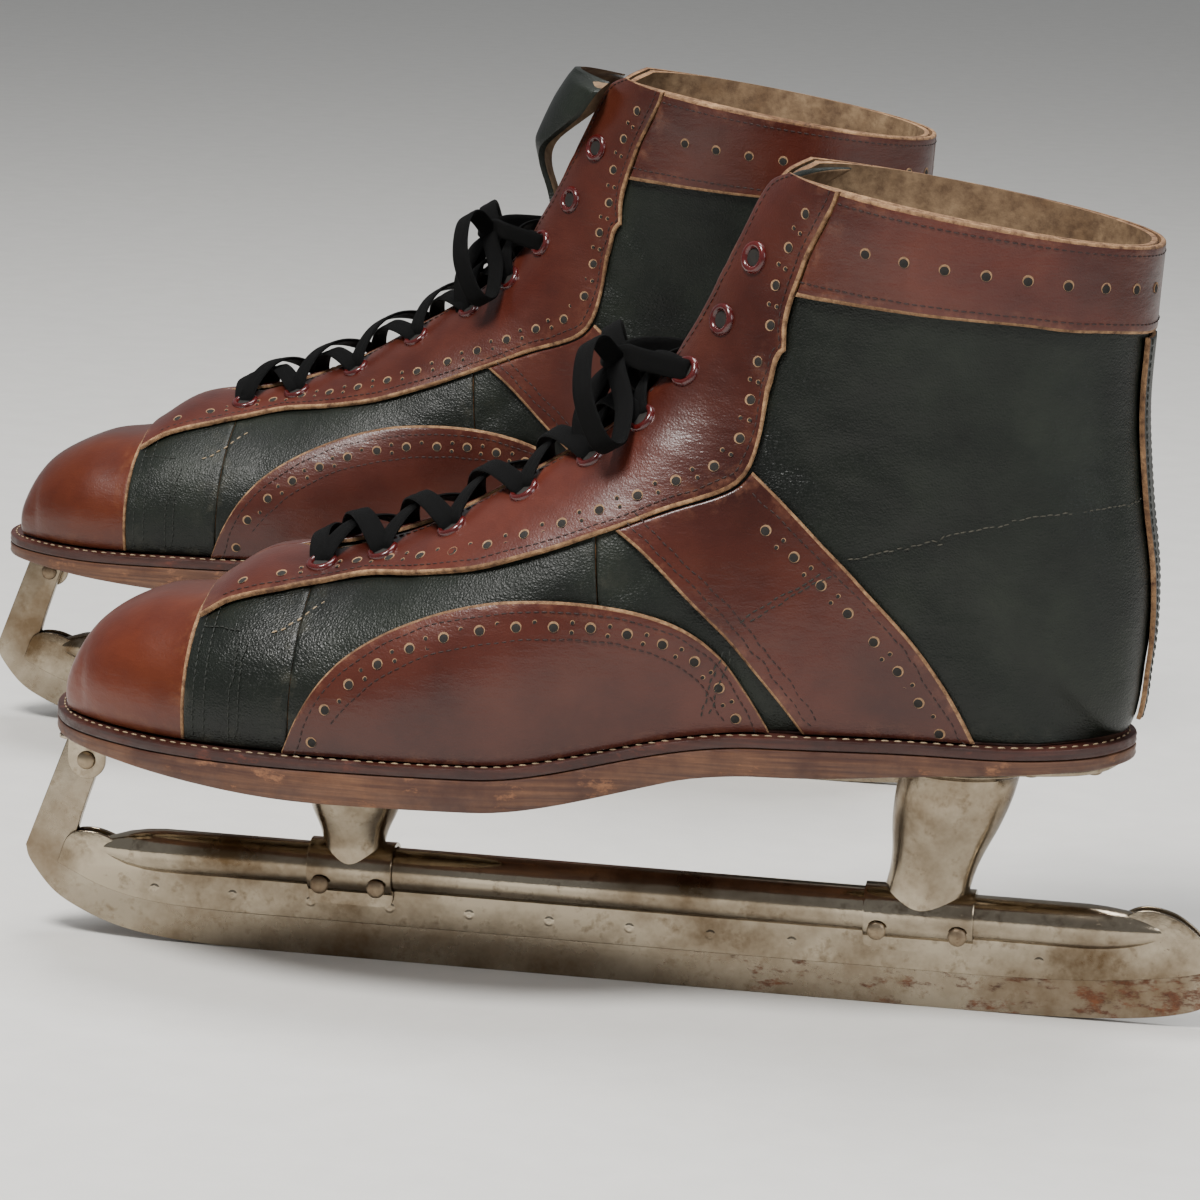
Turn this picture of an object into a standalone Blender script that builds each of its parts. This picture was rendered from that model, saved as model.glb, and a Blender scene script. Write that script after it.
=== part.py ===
"""A pair of vintage tubular ice skates, standing side by side on their blades.

Local skate frame: x runs from the toe tip of the sole back to the heel, z is the
height above the ice, y is 0 on the blade's plane and the outer side is negative.
Toes point to -X in the world. The left skate is at -Y, its mirrored twin at +Y.
"""
import math

import bmesh
import bpy
import numpy as np

MM = 0.001
GAP = 0.3 * MM                    # daylight kept between touching pieces

# ---- pair ------------------------------------------------------------------
PAIR_SPACING = 240 * MM           # blade plane to blade plane
PAIR_STAGGER = 86 * MM            # the right skate stands this much further forward

# ---- sole ------------------------------------------------------------------
SOLE_LENGTH = 300 * MM
BALL_WIDTH = 98 * MM
HEEL_WIDTH = 66 * MM
WAIST_WIDTH = 71 * MM
WELT_WIDTH = 4.2 * MM             # sole edge standing out past the upper
MIDSOLE_THICKNESS = 3.0 * MM
INSOLE_THICKNESS = 3.0 * MM
INSOLE_CLEARANCE = 3.4 * MM       # daylight round the insole, for any shaft height
FOREPART_TOP = 67.5 * MM          # height of the welt above the ice at the toe
HEEL_RISE = 13.5 * MM             # how much higher the welt is at the heel
PLATE_THICKNESS = 1.5 * MM

# ---- upper -----------------------------------------------------------------
SHAFT_HEIGHT = 131 * MM           # collar back above the welt at the heel
LEATHER = 1.8 * MM                # vamp, cap and quarters
OVERLAY = 1.3 * MM                # panels sewn on top
TONGUE_THICKNESS = 2.0 * MM
THROAT_GAP = 7 * MM               # half the daylight between the facings at the toe end
THROAT_GAP_TOP = 12 * MM
EYELET_INSET = 9.5 * MM           # eyelet row behind the throat edge
TONGUE_COVER = 11 * MM            # tongue under each facing
TONGUE_FORWARD = 17.5 * MM        # the right tongue stands this far in front of the leg line
BACK_STAY_WIDTH = 9 * MM
LACE_DIAMETER = 3.0 * MM
UPPER_SEAT = 0.6 * MM             # daylight between the welt and the upper

# ---- steel -----------------------------------------------------------------
BLADE_THICKNESS = 3.0 * MM
BLADE_STRIP = 10.5 * MM           # bare blade showing below the flange
TUBE_RADIUS = 6.2 * MM
TUBE_CENTRE = 26.0 * MM
FLANGE_SHEET = 0.9 * MM
SADDLE_SHEET = 1.1 * MM
ARM_WIDTH = 11.0 * MM
FRONT_POST_X = 86.5 * MM
REAR_POST_SETBACK = 55.5 * MM     # rear post forward of the heel tip
BLADE_OVERHANG = 26 * MM          # blade past the heel tip
BLADE_FRONT = -8 * MM             # nose of the runner
FRONT_POST_TOP = 27 * MM          # post sizes along x
FRONT_POST_FOOT = 18 * MM
REAR_POST_TOP = 32 * MM
REAR_POST_FOOT = 24 * MM
REAR_POST_LEAN = 9 * MM
POST_DEPTH = 25 * MM              # across the skate, at the top
RIVET_RADIUS = 1.6 * MM
RIVET_HEAD = 2.6 * MM


# ---- scene -----------------------------------------------------------------
for old in list(bpy.data.objects):
    bpy.data.objects.remove(old, do_unlink=True)


def collection(name):
    new = bpy.data.collections.new(name)
    bpy.context.scene.collection.children.link(new)
    return new


SKATES = collection("ice_skates")
CUTTERS = collection("cutters")


def material(name, colour, roughness, metallic=0.0):
    new = bpy.data.materials.new(name)
    new.use_nodes = True
    shader = new.node_tree.nodes["Principled BSDF"]
    shader.inputs["Base Color"].default_value = (*colour, 1.0)
    shader.inputs["Roughness"].default_value = roughness
    shader.inputs["Metallic"].default_value = metallic
    new.diffuse_color = (*colour, 1.0)
    return new


CAP_LEATHER = material("cap_leather", (0.13, 0.022, 0.006), 0.35)
BROWN_LEATHER = material("brown_leather", (0.10, 0.022, 0.012), 0.4)
DARK_LEATHER = material("dark_leather", (0.016, 0.022, 0.015), 0.5)
SOLE_LEATHER = material("sole_leather", (0.25, 0.11, 0.05), 0.6)
WELT_LEATHER = material("welt_leather", (0.07, 0.02, 0.012), 0.45)
LINING = material("lining_leather", (0.35, 0.24, 0.14), 0.8)
LACE_CLOTH = material("lace_cloth", (0.008, 0.008, 0.008), 0.8)
BLADE_STEEL = material("blade_steel", (0.45, 0.40, 0.34), 0.4, 1.0)
NICKEL = material("nickel", (0.42, 0.37, 0.28), 0.35, 1.0)
RIVET_STEEL = material("rivet_steel", (0.25, 0.16, 0.10), 0.5, 1.0)


# ---- plan of the sole ------------------------------------------------------
def spline(knots, count, closed=False):
    """Points on a Catmull-Rom curve through the knots, count per span."""
    knots = np.asarray(knots, float)
    if closed:
        padded = np.vstack([knots[-1], knots, knots[0], knots[1]])
    else:
        first = 2 * knots[0] - knots[1]
        last = 2 * knots[-1] - knots[-2]
        padded = np.vstack([first, knots, last])
    points = []
    for k in range(len(padded) - 3):
        a, b, c, d = padded[k:k + 4]
        for i in range(count):
            t = i / count
            points.append(0.5 * (2 * b + (c - a) * t + (2 * a - 5 * b + 4 * c - d) * t * t
                                 + (3 * b - a - 3 * c + d) * t ** 3))
    if not closed:
        points.append(knots[-1])
    return np.array(points)


def sole_knots():
    """Outline of the left sole as (x, y): toe tip, inner side, heel, outer side."""
    length = SOLE_LENGTH
    ball_in = 0.47 * BALL_WIDTH
    ball_out = 0.53 * BALL_WIDTH
    waist_in = 0.42 * WAIST_WIDTH
    waist_out = 0.58 * WAIST_WIDTH
    heel = HEEL_WIDTH / 2
    return [(0, 0.06 * BALL_WIDTH), (0.022 * length, 0.27 * BALL_WIDTH),
            (0.10 * length, 0.42 * BALL_WIDTH), (0.20 * length, 0.465 * BALL_WIDTH),
            (0.32 * length, ball_in), (0.44 * length, 0.395 * BALL_WIDTH),
            (0.56 * length, waist_in), (0.68 * length, waist_in), (0.80 * length, 0.97 * heel),
            (0.90 * length, 0.97 * heel), (0.97 * length, 0.62 * heel), (length, 0),
            (0.97 * length, -0.62 * heel), (0.90 * length, -0.97 * heel),
            (0.80 * length, -1.03 * heel), (0.68 * length, -0.95 * waist_out),
            (0.56 * length, -waist_out), (0.44 * length, -0.51 * BALL_WIDTH),
            (0.34 * length, -ball_out), (0.22 * length, -0.49 * BALL_WIDTH),
            (0.11 * length, -0.375 * BALL_WIDTH), (0.03 * length, -0.19 * BALL_WIDTH)]


SOLE_PLAN = spline(sole_knots(), 12, closed=True)
HEEL_INDEX = 11 * 12


def plan_edges(x):
    """Inner and outer edge of the sole at x."""
    x = np.clip(x, 0, SOLE_LENGTH)
    inner = SOLE_PLAN[:HEEL_INDEX + 1]
    outer = np.vstack([SOLE_PLAN[HEEL_INDEX:], SOLE_PLAN[:1]])[::-1]
    return (np.interp(x, inner[:, 0], inner[:, 1]), np.interp(x, outer[:, 0], outer[:, 1]))


def ramp(x, start, end):
    t = np.clip((np.asarray(x, float) - start) / (end - start), 0, 1)
    return t * t * (3 - 2 * t)


def welt_height(x):
    """Top of the sole: level at the forepart, up over the shank, level at the heel."""
    share = np.asarray(x, float) / SOLE_LENGTH
    rise = 0.13 * ramp(share, 0.1, 0.42) + 0.87 * ramp(share, 0.43, 0.68)
    return FOREPART_TOP + HEEL_RISE * rise


def sole_thickness(x):
    """Thin at the toe and heel, thick under the ball."""
    share = np.asarray(x, float) / SOLE_LENGTH
    ball = ramp(share, 0.0, 0.3) * (1 - ramp(share, 0.46, 0.62))
    waist = ramp(share, 0.46, 0.6) * (1 - ramp(share, 0.7, 0.95))
    return (6.6 + 5.4 * ball + 4.2 * waist) * MM


def sole_bottom(x):
    return welt_height(x) - sole_thickness(x)


# ---- surface of the boot ---------------------------------------------------
# Each section runs in a plane across the boot, from its base (the welt line, or
# the back seam once past the heel) to the ridge line (top of the foot, front of
# the leg). Columns: base x, base height, ridge x, ridge height, half width,
# fullness at the base, fullness at the ridge.
FORE = FOREPART_TOP
BACK = FOREPART_TOP + HEEL_RISE
FEATHER_TOE = WELT_WIDTH + 1.2 * MM
FEATHER_HEEL = SOLE_LENGTH - 3.4 * MM
WELT_ROWS = 14                    # sections whose base lies on the welt line
SECTIONS = np.array([
    # base x, base up, ridge x, ridge up, half width, base fullness, ridge fullness
    (0.0, 0.0, 0.0, 0.0, 0.0, 0.80, 0.80),
    (2.6, 0.0, 0.8, 11.5, 14.0, 0.80, 0.80),
    (10.6, 0.0, 8.6, 24.0, 27.0, 0.75, 0.80),
    (24.6, 0.0, 23.6, 32.2, 35.5, 0.70, 0.78),
    (40.6, 0.0, 40.6, 35.2, 40.5, 0.68, 0.80),
    (56.6, 0.0, 57.0, 45.0, 43.5, 0.68, 0.95),
    (78.6, 0.0, 79.6, 49.0, 45.6, 0.70, 1.05),
    (104.6, 0.0, 104.6, 58.0, 46.6, 0.72, 1.10),
    (132.6, 0.0, 130.6, 73.5, 43.2, 0.74, 1.08),
    (162.6, 0.0, 151.6, 87.5, 38.0, 0.75, 1.00),
    (196.6, 0.0, 164.6, 102.0, 35.0, 0.76, 0.95),
    (234.6, 0.0, 171.2, 115.0, 34.0, 0.76, 0.92),
    (270.6, 0.0, 176.0, 126.0, 33.5, 0.74, 0.90),
    (291.2, 0.0, 179.6, 135.0, 34.0, 0.72, 0.90),
    (295.6, 19.0, 182.4, 141.5, 34.5, 0.72, 0.90),
    (296.0, 41.0, 185.0, 147.0, 35.0, 0.74, 0.90),
    (293.0, 64.0, 187.4, 151.5, 35.5, 0.78, 0.90),
    (291.0, 87.0, 189.8, 155.0, 36.5, 0.82, 0.90),
    (291.6, 109.0, 191.8, 157.5, 38.0, 0.86, 0.90),
    (292.4, 131.0, 193.8, 159.5, 39.0, 0.88, 0.90)])
TOP = len(SECTIONS) - 1


def section_values(s):
    """Catmull-Rom between the rows, with the drawn sizes scaled to the named ones."""
    s = np.clip(np.asarray(s, float), 0, TOP)
    k = np.minimum(s.astype(int), TOP - 1)
    t = (s - k)[..., None]
    rows = np.vstack([2 * SECTIONS[0] - SECTIONS[1], SECTIONS, 2 * SECTIONS[-1] - SECTIONS[-2]])
    a, b, c, d = rows[k], rows[k + 1], rows[k + 2], rows[k + 3]
    v = 0.5 * (2 * b + (c - a) * t + (2 * a - 5 * b + 4 * c - d) * t * t
               + (3 * b - a - 3 * c + d) * t ** 3)
    drawn_length = SECTIONS[WELT_ROWS - 1, 0]
    along = (FEATHER_HEEL - FEATHER_TOE) / drawn_length
    upward = SHAFT_HEIGHT / SECTIONS[-1, 1]
    base_x = FEATHER_TOE + v[..., 0] * along
    lift = np.where(s <= WELT_ROWS - 1, 0.0, np.maximum(v[..., 1], 0.0) * upward)
    base_z = welt_height(np.minimum(base_x, SOLE_LENGTH)) + UPPER_SEAT + lift
    ridge_x = FEATHER_TOE + v[..., 2] * along
    ridge_z = FORE + UPPER_SEAT + v[..., 3] * upward
    inner, outer = plan_edges(base_x)
    on_foot = np.clip((WELT_ROWS - 1 - s) / 4.0, 0, 1)
    centre = 0.5 * (inner + outer) * on_foot
    feather = np.maximum(0.5 * (inner - outer) - WELT_WIDTH * np.minimum(1, s), 0)
    feather = np.where(s < WELT_ROWS - 1, feather, 0)
    closing = (WELT_ROWS - 1 - s).clip(0, 1) ** 0.25
    feather = np.where(s > WELT_ROWS - 2, feather * closing, feather)
    feather = np.where(s < 1, feather * np.sqrt(s.clip(0, 1)), feather)
    wide = BALL_WIDTH / (98 * MM)
    half = np.maximum(v[..., 4] * MM * wide, 1.03 * feather)
    return base_x, base_z, ridge_x, ridge_z, centre, feather, half, v[..., 5], v[..., 6]


def bare_surface(s, u):
    """Point of the boot for section s and girth position u.

    u is -1 at the outer welt line, 0 on the ridge and +1 at the inner welt line.
    """
    s, u = np.broadcast_arrays(np.asarray(s, float), np.asarray(u, float))
    base_x, base_z, ridge_x, ridge_z, centre, feather, half, low, high = section_values(s)
    ratio = np.clip(feather / np.maximum(half, 1e-9), 0, 0.97)
    first = np.arcsin(ratio ** (1 / low))
    angle = math.pi - np.abs(u) * (math.pi - first)
    share = (np.cos(first) - np.cos(angle)) / (np.cos(first) + 1)
    blend = ramp(angle, 0.25 * math.pi, 0.75 * math.pi)
    fullness = low + (high - low) * blend
    side = np.where(u < 0, -1.0, 1.0)
    y = centre + side * half * np.sin(angle).clip(0, 1) ** fullness
    return np.stack([base_x + (ridge_x - base_x) * share, y, base_z + (ridge_z - base_z) * share], axis=-1)


def surface(s, u, offset=0.0):
    """Surface point moved outwards by offset along the normal."""
    s, u = np.broadcast_arrays(np.asarray(s, float), np.asarray(u, float))
    here = bare_surface(s, u)
    if np.isscalar(offset) and offset == 0:
        return here
    ds = 0.02
    du = 0.004
    side = np.where(u < 0, -1.0, 1.0)
    u_in = np.where(np.abs(u) < du, side * du, u)
    s_in = np.clip(s, 0.05, TOP - ds)
    along = bare_surface(s_in + ds, u_in) - bare_surface(s_in - ds, u_in)
    ahead = bare_surface(s_in, np.clip(u_in + du, -0.999, 0.999))
    around = ahead - bare_surface(s_in, np.clip(u_in - du, -0.999, 0.999))
    normal = np.cross(along, around)
    normal[np.abs(u) < du, 1] = 0
    normal /= np.maximum(np.linalg.norm(normal, axis=-1, keepdims=True), 1e-12)
    moved = here + normal * np.asarray(offset)[..., None]
    floor = welt_height(np.clip(moved[..., 0], 0, SOLE_LENGTH)) + UPPER_SEAT
    moved[..., 2] = np.maximum(moved[..., 2], floor)
    return moved


GIRTH = np.linspace(0, 1, 241)


def girth_at(s, distance, side):
    """Girth position at an arc distance from the ridge, on one side."""
    s, distance = np.broadcast_arrays(np.atleast_1d(np.asarray(s, float)), np.asarray(distance, float))
    result = np.empty(s.shape)
    for i in range(len(s)):
        line = bare_surface(np.full(GIRTH.shape, s[i]), side * np.maximum(GIRTH, 1e-6))
        arc = np.concatenate([[0], np.cumsum(np.linalg.norm(np.diff(line, axis=0), axis=1))])
        result[i] = np.interp(distance[i], arc, GIRTH)
    return side * result


def girth_from_base(s, distance, side):
    """Girth position at an arc distance up from the welt line or the back seam."""
    s, distance = np.broadcast_arrays(np.atleast_1d(np.asarray(s, float)), np.asarray(distance, float))
    result = np.empty(s.shape)
    for i in range(len(s)):
        line = bare_surface(np.full(GIRTH.shape, s[i]), side * GIRTH[::-1])
        arc = np.concatenate([[0], np.cumsum(np.linalg.norm(np.diff(line, axis=0), axis=1))])
        result[i] = np.interp(distance[i], arc, GIRTH[::-1])
    return side * result


SCAN_S, SCAN_U = np.meshgrid(np.linspace(0.2, TOP, 400), np.linspace(0.01, 1, 160), indexing="ij")


def locate(x, up, side):
    """Section and girth position of a side-view point (x back from the toe, z up)."""
    grid = bare_surface(SCAN_S, side * SCAN_U)
    k = np.argmin((grid[..., 0] - x) ** 2 + (grid[..., 2] - up) ** 2)
    return SCAN_S.flat[k], side * SCAN_U.flat[k]


def drawn(points):
    """Side-view points in mm, drawn for a 300 mm sole and a 131 mm shaft, at the named sizes in metres."""
    points = np.asarray(points, float)
    along = SOLE_LENGTH / 300
    upward = (FOREPART_TOP + (points[..., 1] - 67.5) * SHAFT_HEIGHT / 131)
    return np.stack([points[..., 0] * along, upward], axis=-1)


def located(points, side, count):
    """A smooth side-view line as count (s, u) points."""
    line = spline(drawn(points), 6)
    pairs = np.array([locate(p[0], p[1], side) for p in line])
    steps = np.concatenate([[0], np.cumsum(np.linalg.norm(np.diff(line, axis=0), axis=1))])
    at = np.linspace(0, steps[-1], count)
    return np.interp(at, steps, pairs[:, 0]), np.interp(at, steps, pairs[:, 1])


# ---- making objects --------------------------------------------------------
skate = {"prefix": "", "mirrored": False, "empty": None}


def new_object(name, bm, finish, parent=None, cutter=False):
    """Turn a bmesh in the skate frame into a named object on the current skate."""
    if skate["mirrored"]:
        bmesh.ops.scale(bm, vec=(1, -1, 1), verts=bm.verts)
    bmesh.ops.recalc_face_normals(bm, faces=bm.faces)
    if bm.calc_volume(signed=True) < 0:
        bmesh.ops.reverse_faces(bm, faces=bm.faces)
    parent = parent or skate["empty"]
    shift = parent.location - skate["empty"].location if parent is not skate["empty"] else None
    if shift is not None:
        bmesh.ops.translate(bm, vec=-shift, verts=bm.verts)
    mesh = bpy.data.meshes.new(skate["prefix"] + name)
    bm.to_mesh(mesh)
    bm.free()
    made = bpy.data.objects.new(skate["prefix"] + name, mesh)
    if finish:
        mesh.materials.append(finish)
    (CUTTERS if cutter else SKATES).objects.link(made)
    made.parent = parent
    if cutter:
        made.hide_render = True
        made.display_type = "WIRE"
    return made


def boolean(target, other, operation="DIFFERENCE"):
    step = target.modifiers.new(other.name, "BOOLEAN")
    step.operation = operation
    step.solver = "EXACT"
    step.object = other


def shell(outer, inner, keep=None):
    """Closed sheet between two point grids; keep says which cells exist."""
    rows, columns = outer.shape[:2]
    bm = bmesh.new()
    top = [[bm.verts.new(outer[i, j]) for j in range(columns)] for i in range(rows)]
    low = [[bm.verts.new(inner[i, j]) for j in range(columns)] for i in range(rows)]
    for i in range(rows - 1):
        for j in range(columns - 1):
            if keep is None or keep[i][j]:
                bm.faces.new((top[i][j], top[i + 1][j], top[i + 1][j + 1], top[i][j + 1]))
                bm.faces.new((low[i][j], low[i][j + 1], low[i + 1][j + 1], low[i + 1][j]))
    twin = {}
    for i in range(rows):
        for j in range(columns):
            twin[top[i][j]] = low[i][j]
    for edge in [e for e in bm.edges if len(e.link_faces) == 1 and e.verts[0] in twin and e.verts[1] in twin]:
        a, b = edge.verts
        bm.faces.new((a, b, twin[b], twin[a]))
    for loose in [v for v in bm.verts if not v.link_faces]:
        bm.verts.remove(loose)
    bmesh.ops.remove_doubles(bm, verts=bm.verts, dist=0.00002)
    return bm


def sheet(name, s, u, low, high, finish, keep=None):
    """A leather piece covering a grid of (section, girth) positions."""
    return new_object(name, shell(surface(s, u, high), surface(s, u, low), keep), finish)


def ruled(s_a, u_a, s_b, u_b, across):
    """Grid between two lines of (section, girth) positions."""
    t = np.linspace(0, 1, across)
    return (np.outer(s_a, 1 - t) + np.outer(s_b, t), np.outer(u_a, 1 - t) + np.outer(u_b, t))


def slab(x, inner, outer, low, high):
    """Flat layer with curved edges: edge positions and heights given along x."""
    above = np.stack([np.stack([x, outer, high], -1), np.stack([x, inner, high], -1)], 1)
    below = np.stack([np.stack([x, outer, low], -1), np.stack([x, inner, low], -1)], 1)
    return shell(above, below)


def lathe(profile, axis, centre, steps):
    """Closed turned body: profile as (along, radius) with both ends on the axis."""
    bm = bmesh.new()
    along = {"X": (1, 0, 0), "Y": (0, 1, 0), "Z": (0, 0, 1)}[axis]
    out = {"X": (0, 0, 1), "Y": (0, 0, 1), "Z": (1, 0, 0)}[axis]
    verts = [bm.verts.new([centre[k] + along[k] * a + out[k] * r for k in range(3)]) for a, r in profile]
    edges = [bm.edges.new((verts[k], verts[k + 1])) for k in range(len(verts) - 1)]
    bmesh.ops.spin(bm, geom=verts + edges, cent=centre, axis=along, angle=2 * math.pi, steps=steps)
    bmesh.ops.remove_doubles(bm, verts=bm.verts, dist=0.00001)
    return bm


def box(low, high):
    bm = bmesh.new()
    bmesh.ops.create_cube(bm, size=1)
    size = [high[k] - low[k] for k in range(3)]
    bmesh.ops.scale(bm, vec=size, verts=bm.verts)
    bmesh.ops.translate(bm, vec=[(high[k] + low[k]) / 2 for k in range(3)], verts=bm.verts)
    return bm


def side_plate(outline, y_low, y_high):
    """Flat plate in the blade's plane, from a side-view outline of (x, z) points."""
    curve = bpy.data.curves.new("outline", "CURVE")
    curve.dimensions = "2D"
    curve.fill_mode = "BOTH"
    curve.extrude = (y_high - y_low) / 2
    line = curve.splines.new("POLY")
    line.points.add(len(outline) - 1)
    for point, (x, z) in zip(line.points, outline):
        point.co = (x, z, 0, 1)
    line.use_cyclic_u = True
    drawn = bpy.data.objects.new("outline", curve)
    bpy.context.scene.collection.objects.link(drawn)
    bpy.context.view_layer.update()
    flat = bpy.data.meshes.new_from_object(drawn.evaluated_get(bpy.context.evaluated_depsgraph_get()))
    bm = bmesh.new()
    bm.from_mesh(flat)
    bmesh.ops.remove_doubles(bm, verts=bm.verts, dist=0.00001)
    for vert in bm.verts:
        vert.co = (vert.co.x, (y_low + y_high) / 2 + vert.co.z, vert.co.y)
    bpy.data.objects.remove(drawn, do_unlink=True)
    bpy.data.curves.remove(curve)
    bpy.data.meshes.remove(flat)
    return bm


def grown(outline, distance):
    """Outline moved outwards by a distance, corner by corner."""
    points = np.array(outline, float)
    before = points - np.roll(points, 1, axis=0)
    after = np.roll(points, -1, axis=0) - points
    area = 0.5 * np.sum(points[:, 0] * np.roll(points[:, 1], -1) - np.roll(points[:, 0], -1) * points[:, 1])
    turn = 1.0 if area > 0 else -1.0
    normals = []
    for edge in (before, after):
        unit = edge / np.linalg.norm(edge, axis=1, keepdims=True)
        normals.append(np.stack([unit[:, 1], -unit[:, 0]], 1) * turn)
    corner = normals[0] + normals[1]
    corner /= np.maximum(np.sum(corner * normals[0], axis=1, keepdims=True), 0.5)
    return [tuple(p) for p in points + corner * distance]


def loft(rings, sides=16):
    """Closed body through level rings of (x, y, z, radius along x, radius across)."""
    bm = bmesh.new()
    loops = []
    for x, y, z, rx, ry in rings:
        turn = [2 * math.pi * k / sides for k in range(sides)]
        loops.append([bm.verts.new((x + rx * math.cos(a), y + ry * math.sin(a), z)) for a in turn])
    for lower, upper in zip(loops, loops[1:]):
        for k in range(sides):
            n = (k + 1) % sides
            bm.faces.new((lower[k], lower[n], upper[n], upper[k]))
    bm.faces.new(loops[0][::-1])
    bm.faces.new(loops[-1])
    return bm


# ---- sole ------------------------------------------------------------------
def make_sole():
    share = 0.5 - 0.5 * np.cos(np.linspace(0, math.pi, 34))
    x = SOLE_LENGTH * share
    inner, outer = plan_edges(x)
    mid = welt_height(x) - MIDSOLE_THICKNESS
    new_object("midsole", slab(x, inner, outer, mid, welt_height(x)), WELT_LEATHER)
    new_object("outsole", slab(x, inner, outer, sole_bottom(x), mid - GAP), SOLE_LEATHER)
    rows = np.linspace(1.4, WELT_ROWS - 1.4, 22)
    x, _, _, _, centre, feather, _, _, _ = section_values(rows)
    half = feather - LEATHER - INSOLE_CLEARANCE
    low = welt_height(x) + 3 * GAP
    new_object("insole", slab(x, centre + half, centre - half, low, low + INSOLE_THICKNESS), LINING)


# ---- upper -----------------------------------------------------------------
CAP_SEAM = 4.1                    # section numbers where the pieces end
THROAT_START = 5.75
VAMP_END = 8.9
BUTT = 0.004                      # in girth share, the daylight at a butt joint
OVER = 0.7 * MM                   # inner face of the sewn-on panels
SEAM = 0.012                      # in sections, the daylight at a butt seam


def throat_gap(s):
    s = np.asarray(s, float)
    wide = THROAT_GAP + (THROAT_GAP_TOP - THROAT_GAP) * ramp(s, 8, 15)
    corner = 9 * MM * (1 - np.sqrt(1 - ramp(s, TOP - 2.6, TOP) ** 2 * 0.98))
    return wide + corner


def throat_edge(s, side):
    return girth_at(s, throat_gap(s), side)


def make_toe_cap():
    s = CAP_SEAM * (np.linspace(0.03, 1, 9) ** 0.8)
    u = np.linspace(-1, 1, 17)
    s, u = np.meshgrid(s, u, indexing="ij")
    sheet("toe_cap", s, u, -LEATHER, 0.0, CAP_LEATHER)


def make_vamp():
    side_columns = 8
    rows = np.concatenate([np.linspace(CAP_SEAM + SEAM, THROAT_START, 4),
                           np.linspace(THROAT_START, VAMP_END, 8)[1:]])
    edge_out = throat_edge(np.maximum(rows, THROAT_START), -1)
    edge_in = throat_edge(np.maximum(rows, THROAT_START), 1)
    t = np.linspace(0, 1, side_columns)
    u = np.concatenate([-1 + np.outer(edge_out + 1, t), 1 - np.outer(1 - edge_in, t[::-1])], axis=1)
    s = np.repeat(rows[:, None], u.shape[1], axis=1)
    keep = [[j != side_columns - 1 or rows[i + 1] <= THROAT_START + 1e-6 for j in range(u.shape[1] - 1)]
            for i in range(len(rows) - 1)]
    sheet("vamp", s, u, -LEATHER, 0.0, DARK_LEATHER, keep)


def make_quarter(name, side):
    rows = np.concatenate([np.linspace(VAMP_END + SEAM, WELT_ROWS - 1, 8),
                           np.linspace(WELT_ROWS - 1, TOP, 7)[1:]])
    edge = throat_edge(rows, side)
    back = girth_from_base(rows, GAP, side)
    back = np.where(rows < WELT_ROWS - 1.3, side, back)
    t = np.linspace(0, 1, 11)
    u = back[:, None] + (edge - back)[:, None] * t
    s = np.repeat(rows[:, None], len(t), axis=1)
    sheet(name, s, u, -LEATHER, 0.0, DARK_LEATHER)


# Side view of the panels' edges, in mm: x back from the toe, z up.
FACING_EDGE = [(47, 98), (56, 103.5), (68.7, 107.4), (95.5, 114), (122.5, 118.7), (143.9, 125.7),
               (166.8, 135.1), (188, 143.2), (197.2, 149), (199.6, 160), (203.5, 183), (209, 203), (216.9, 221)]
COLLAR_EDGE = [(204, 197), (230, 195.5), (257, 194), (298, 190)]


def facing_edge(rows, side):
    """Girth position of the facing's outer edge on each section."""
    s, u = located(FACING_EDGE, side, 60)
    order = np.argsort(s)
    return np.interp(rows, s[order], u[order])


def make_facing(name, side):
    """Brown panel carrying the eyelets, from the cap seam up to the collar top."""
    rows = np.concatenate([np.linspace(CAP_SEAM + 0.1, THROAT_START, 5),
                           np.linspace(THROAT_START, TOP, 22)[1:]])
    inner = np.where(rows < THROAT_START - 0.01, 0.5 * GAP, throat_gap(rows))
    edge_a = girth_at(rows, inner, side)
    edge_b = facing_edge(rows, side)
    s, u = ruled(rows, edge_a, rows, edge_b, 7)
    sheet(name, s, u, OVER, OVER + OVERLAY, BROWN_LEATHER)


def collar_low(side, shares):
    """Sections of the collar band's lower edge, at girth shares from the facing to the back seam."""
    s, u = located(COLLAR_EDGE, side, 40)
    order = np.argsort(np.abs(u))
    front = facing_edge(np.array([s[0]]), side)[0]
    at = np.abs(front + (side - front) * shares)
    return np.interp(at, np.abs(u)[order], s[order])


def make_collar():
    """Brown band round the top, from facing to facing over the back seam."""
    shares = np.linspace(0, 1, 11)
    s_parts = []
    u_parts = []
    for side in (-1, 1):
        low = collar_low(side, shares)
        s = low + (TOP - low) * np.linspace(0, 1, 4)[:, None]
        front = facing_edge(s[:, 0], side) + side * BUTT
        s_parts.append(s)
        u_parts.append(front[:, None] + (side * 0.99999 - front[:, None]) * shares)
    s = np.concatenate([s_parts[0], s_parts[1][:, ::-1][:, 1:]], axis=1)
    u = np.concatenate([u_parts[0], u_parts[1][:, ::-1][:, 1:]], axis=1)
    outer = surface(s, u, OVER + OVERLAY)
    inner = surface(s, u, OVER)
    for grid in (outer, inner):
        grid[:, 10, 1] = 0.0
    new_object("collar_band", shell(outer, inner), BROWN_LEATHER)


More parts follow.
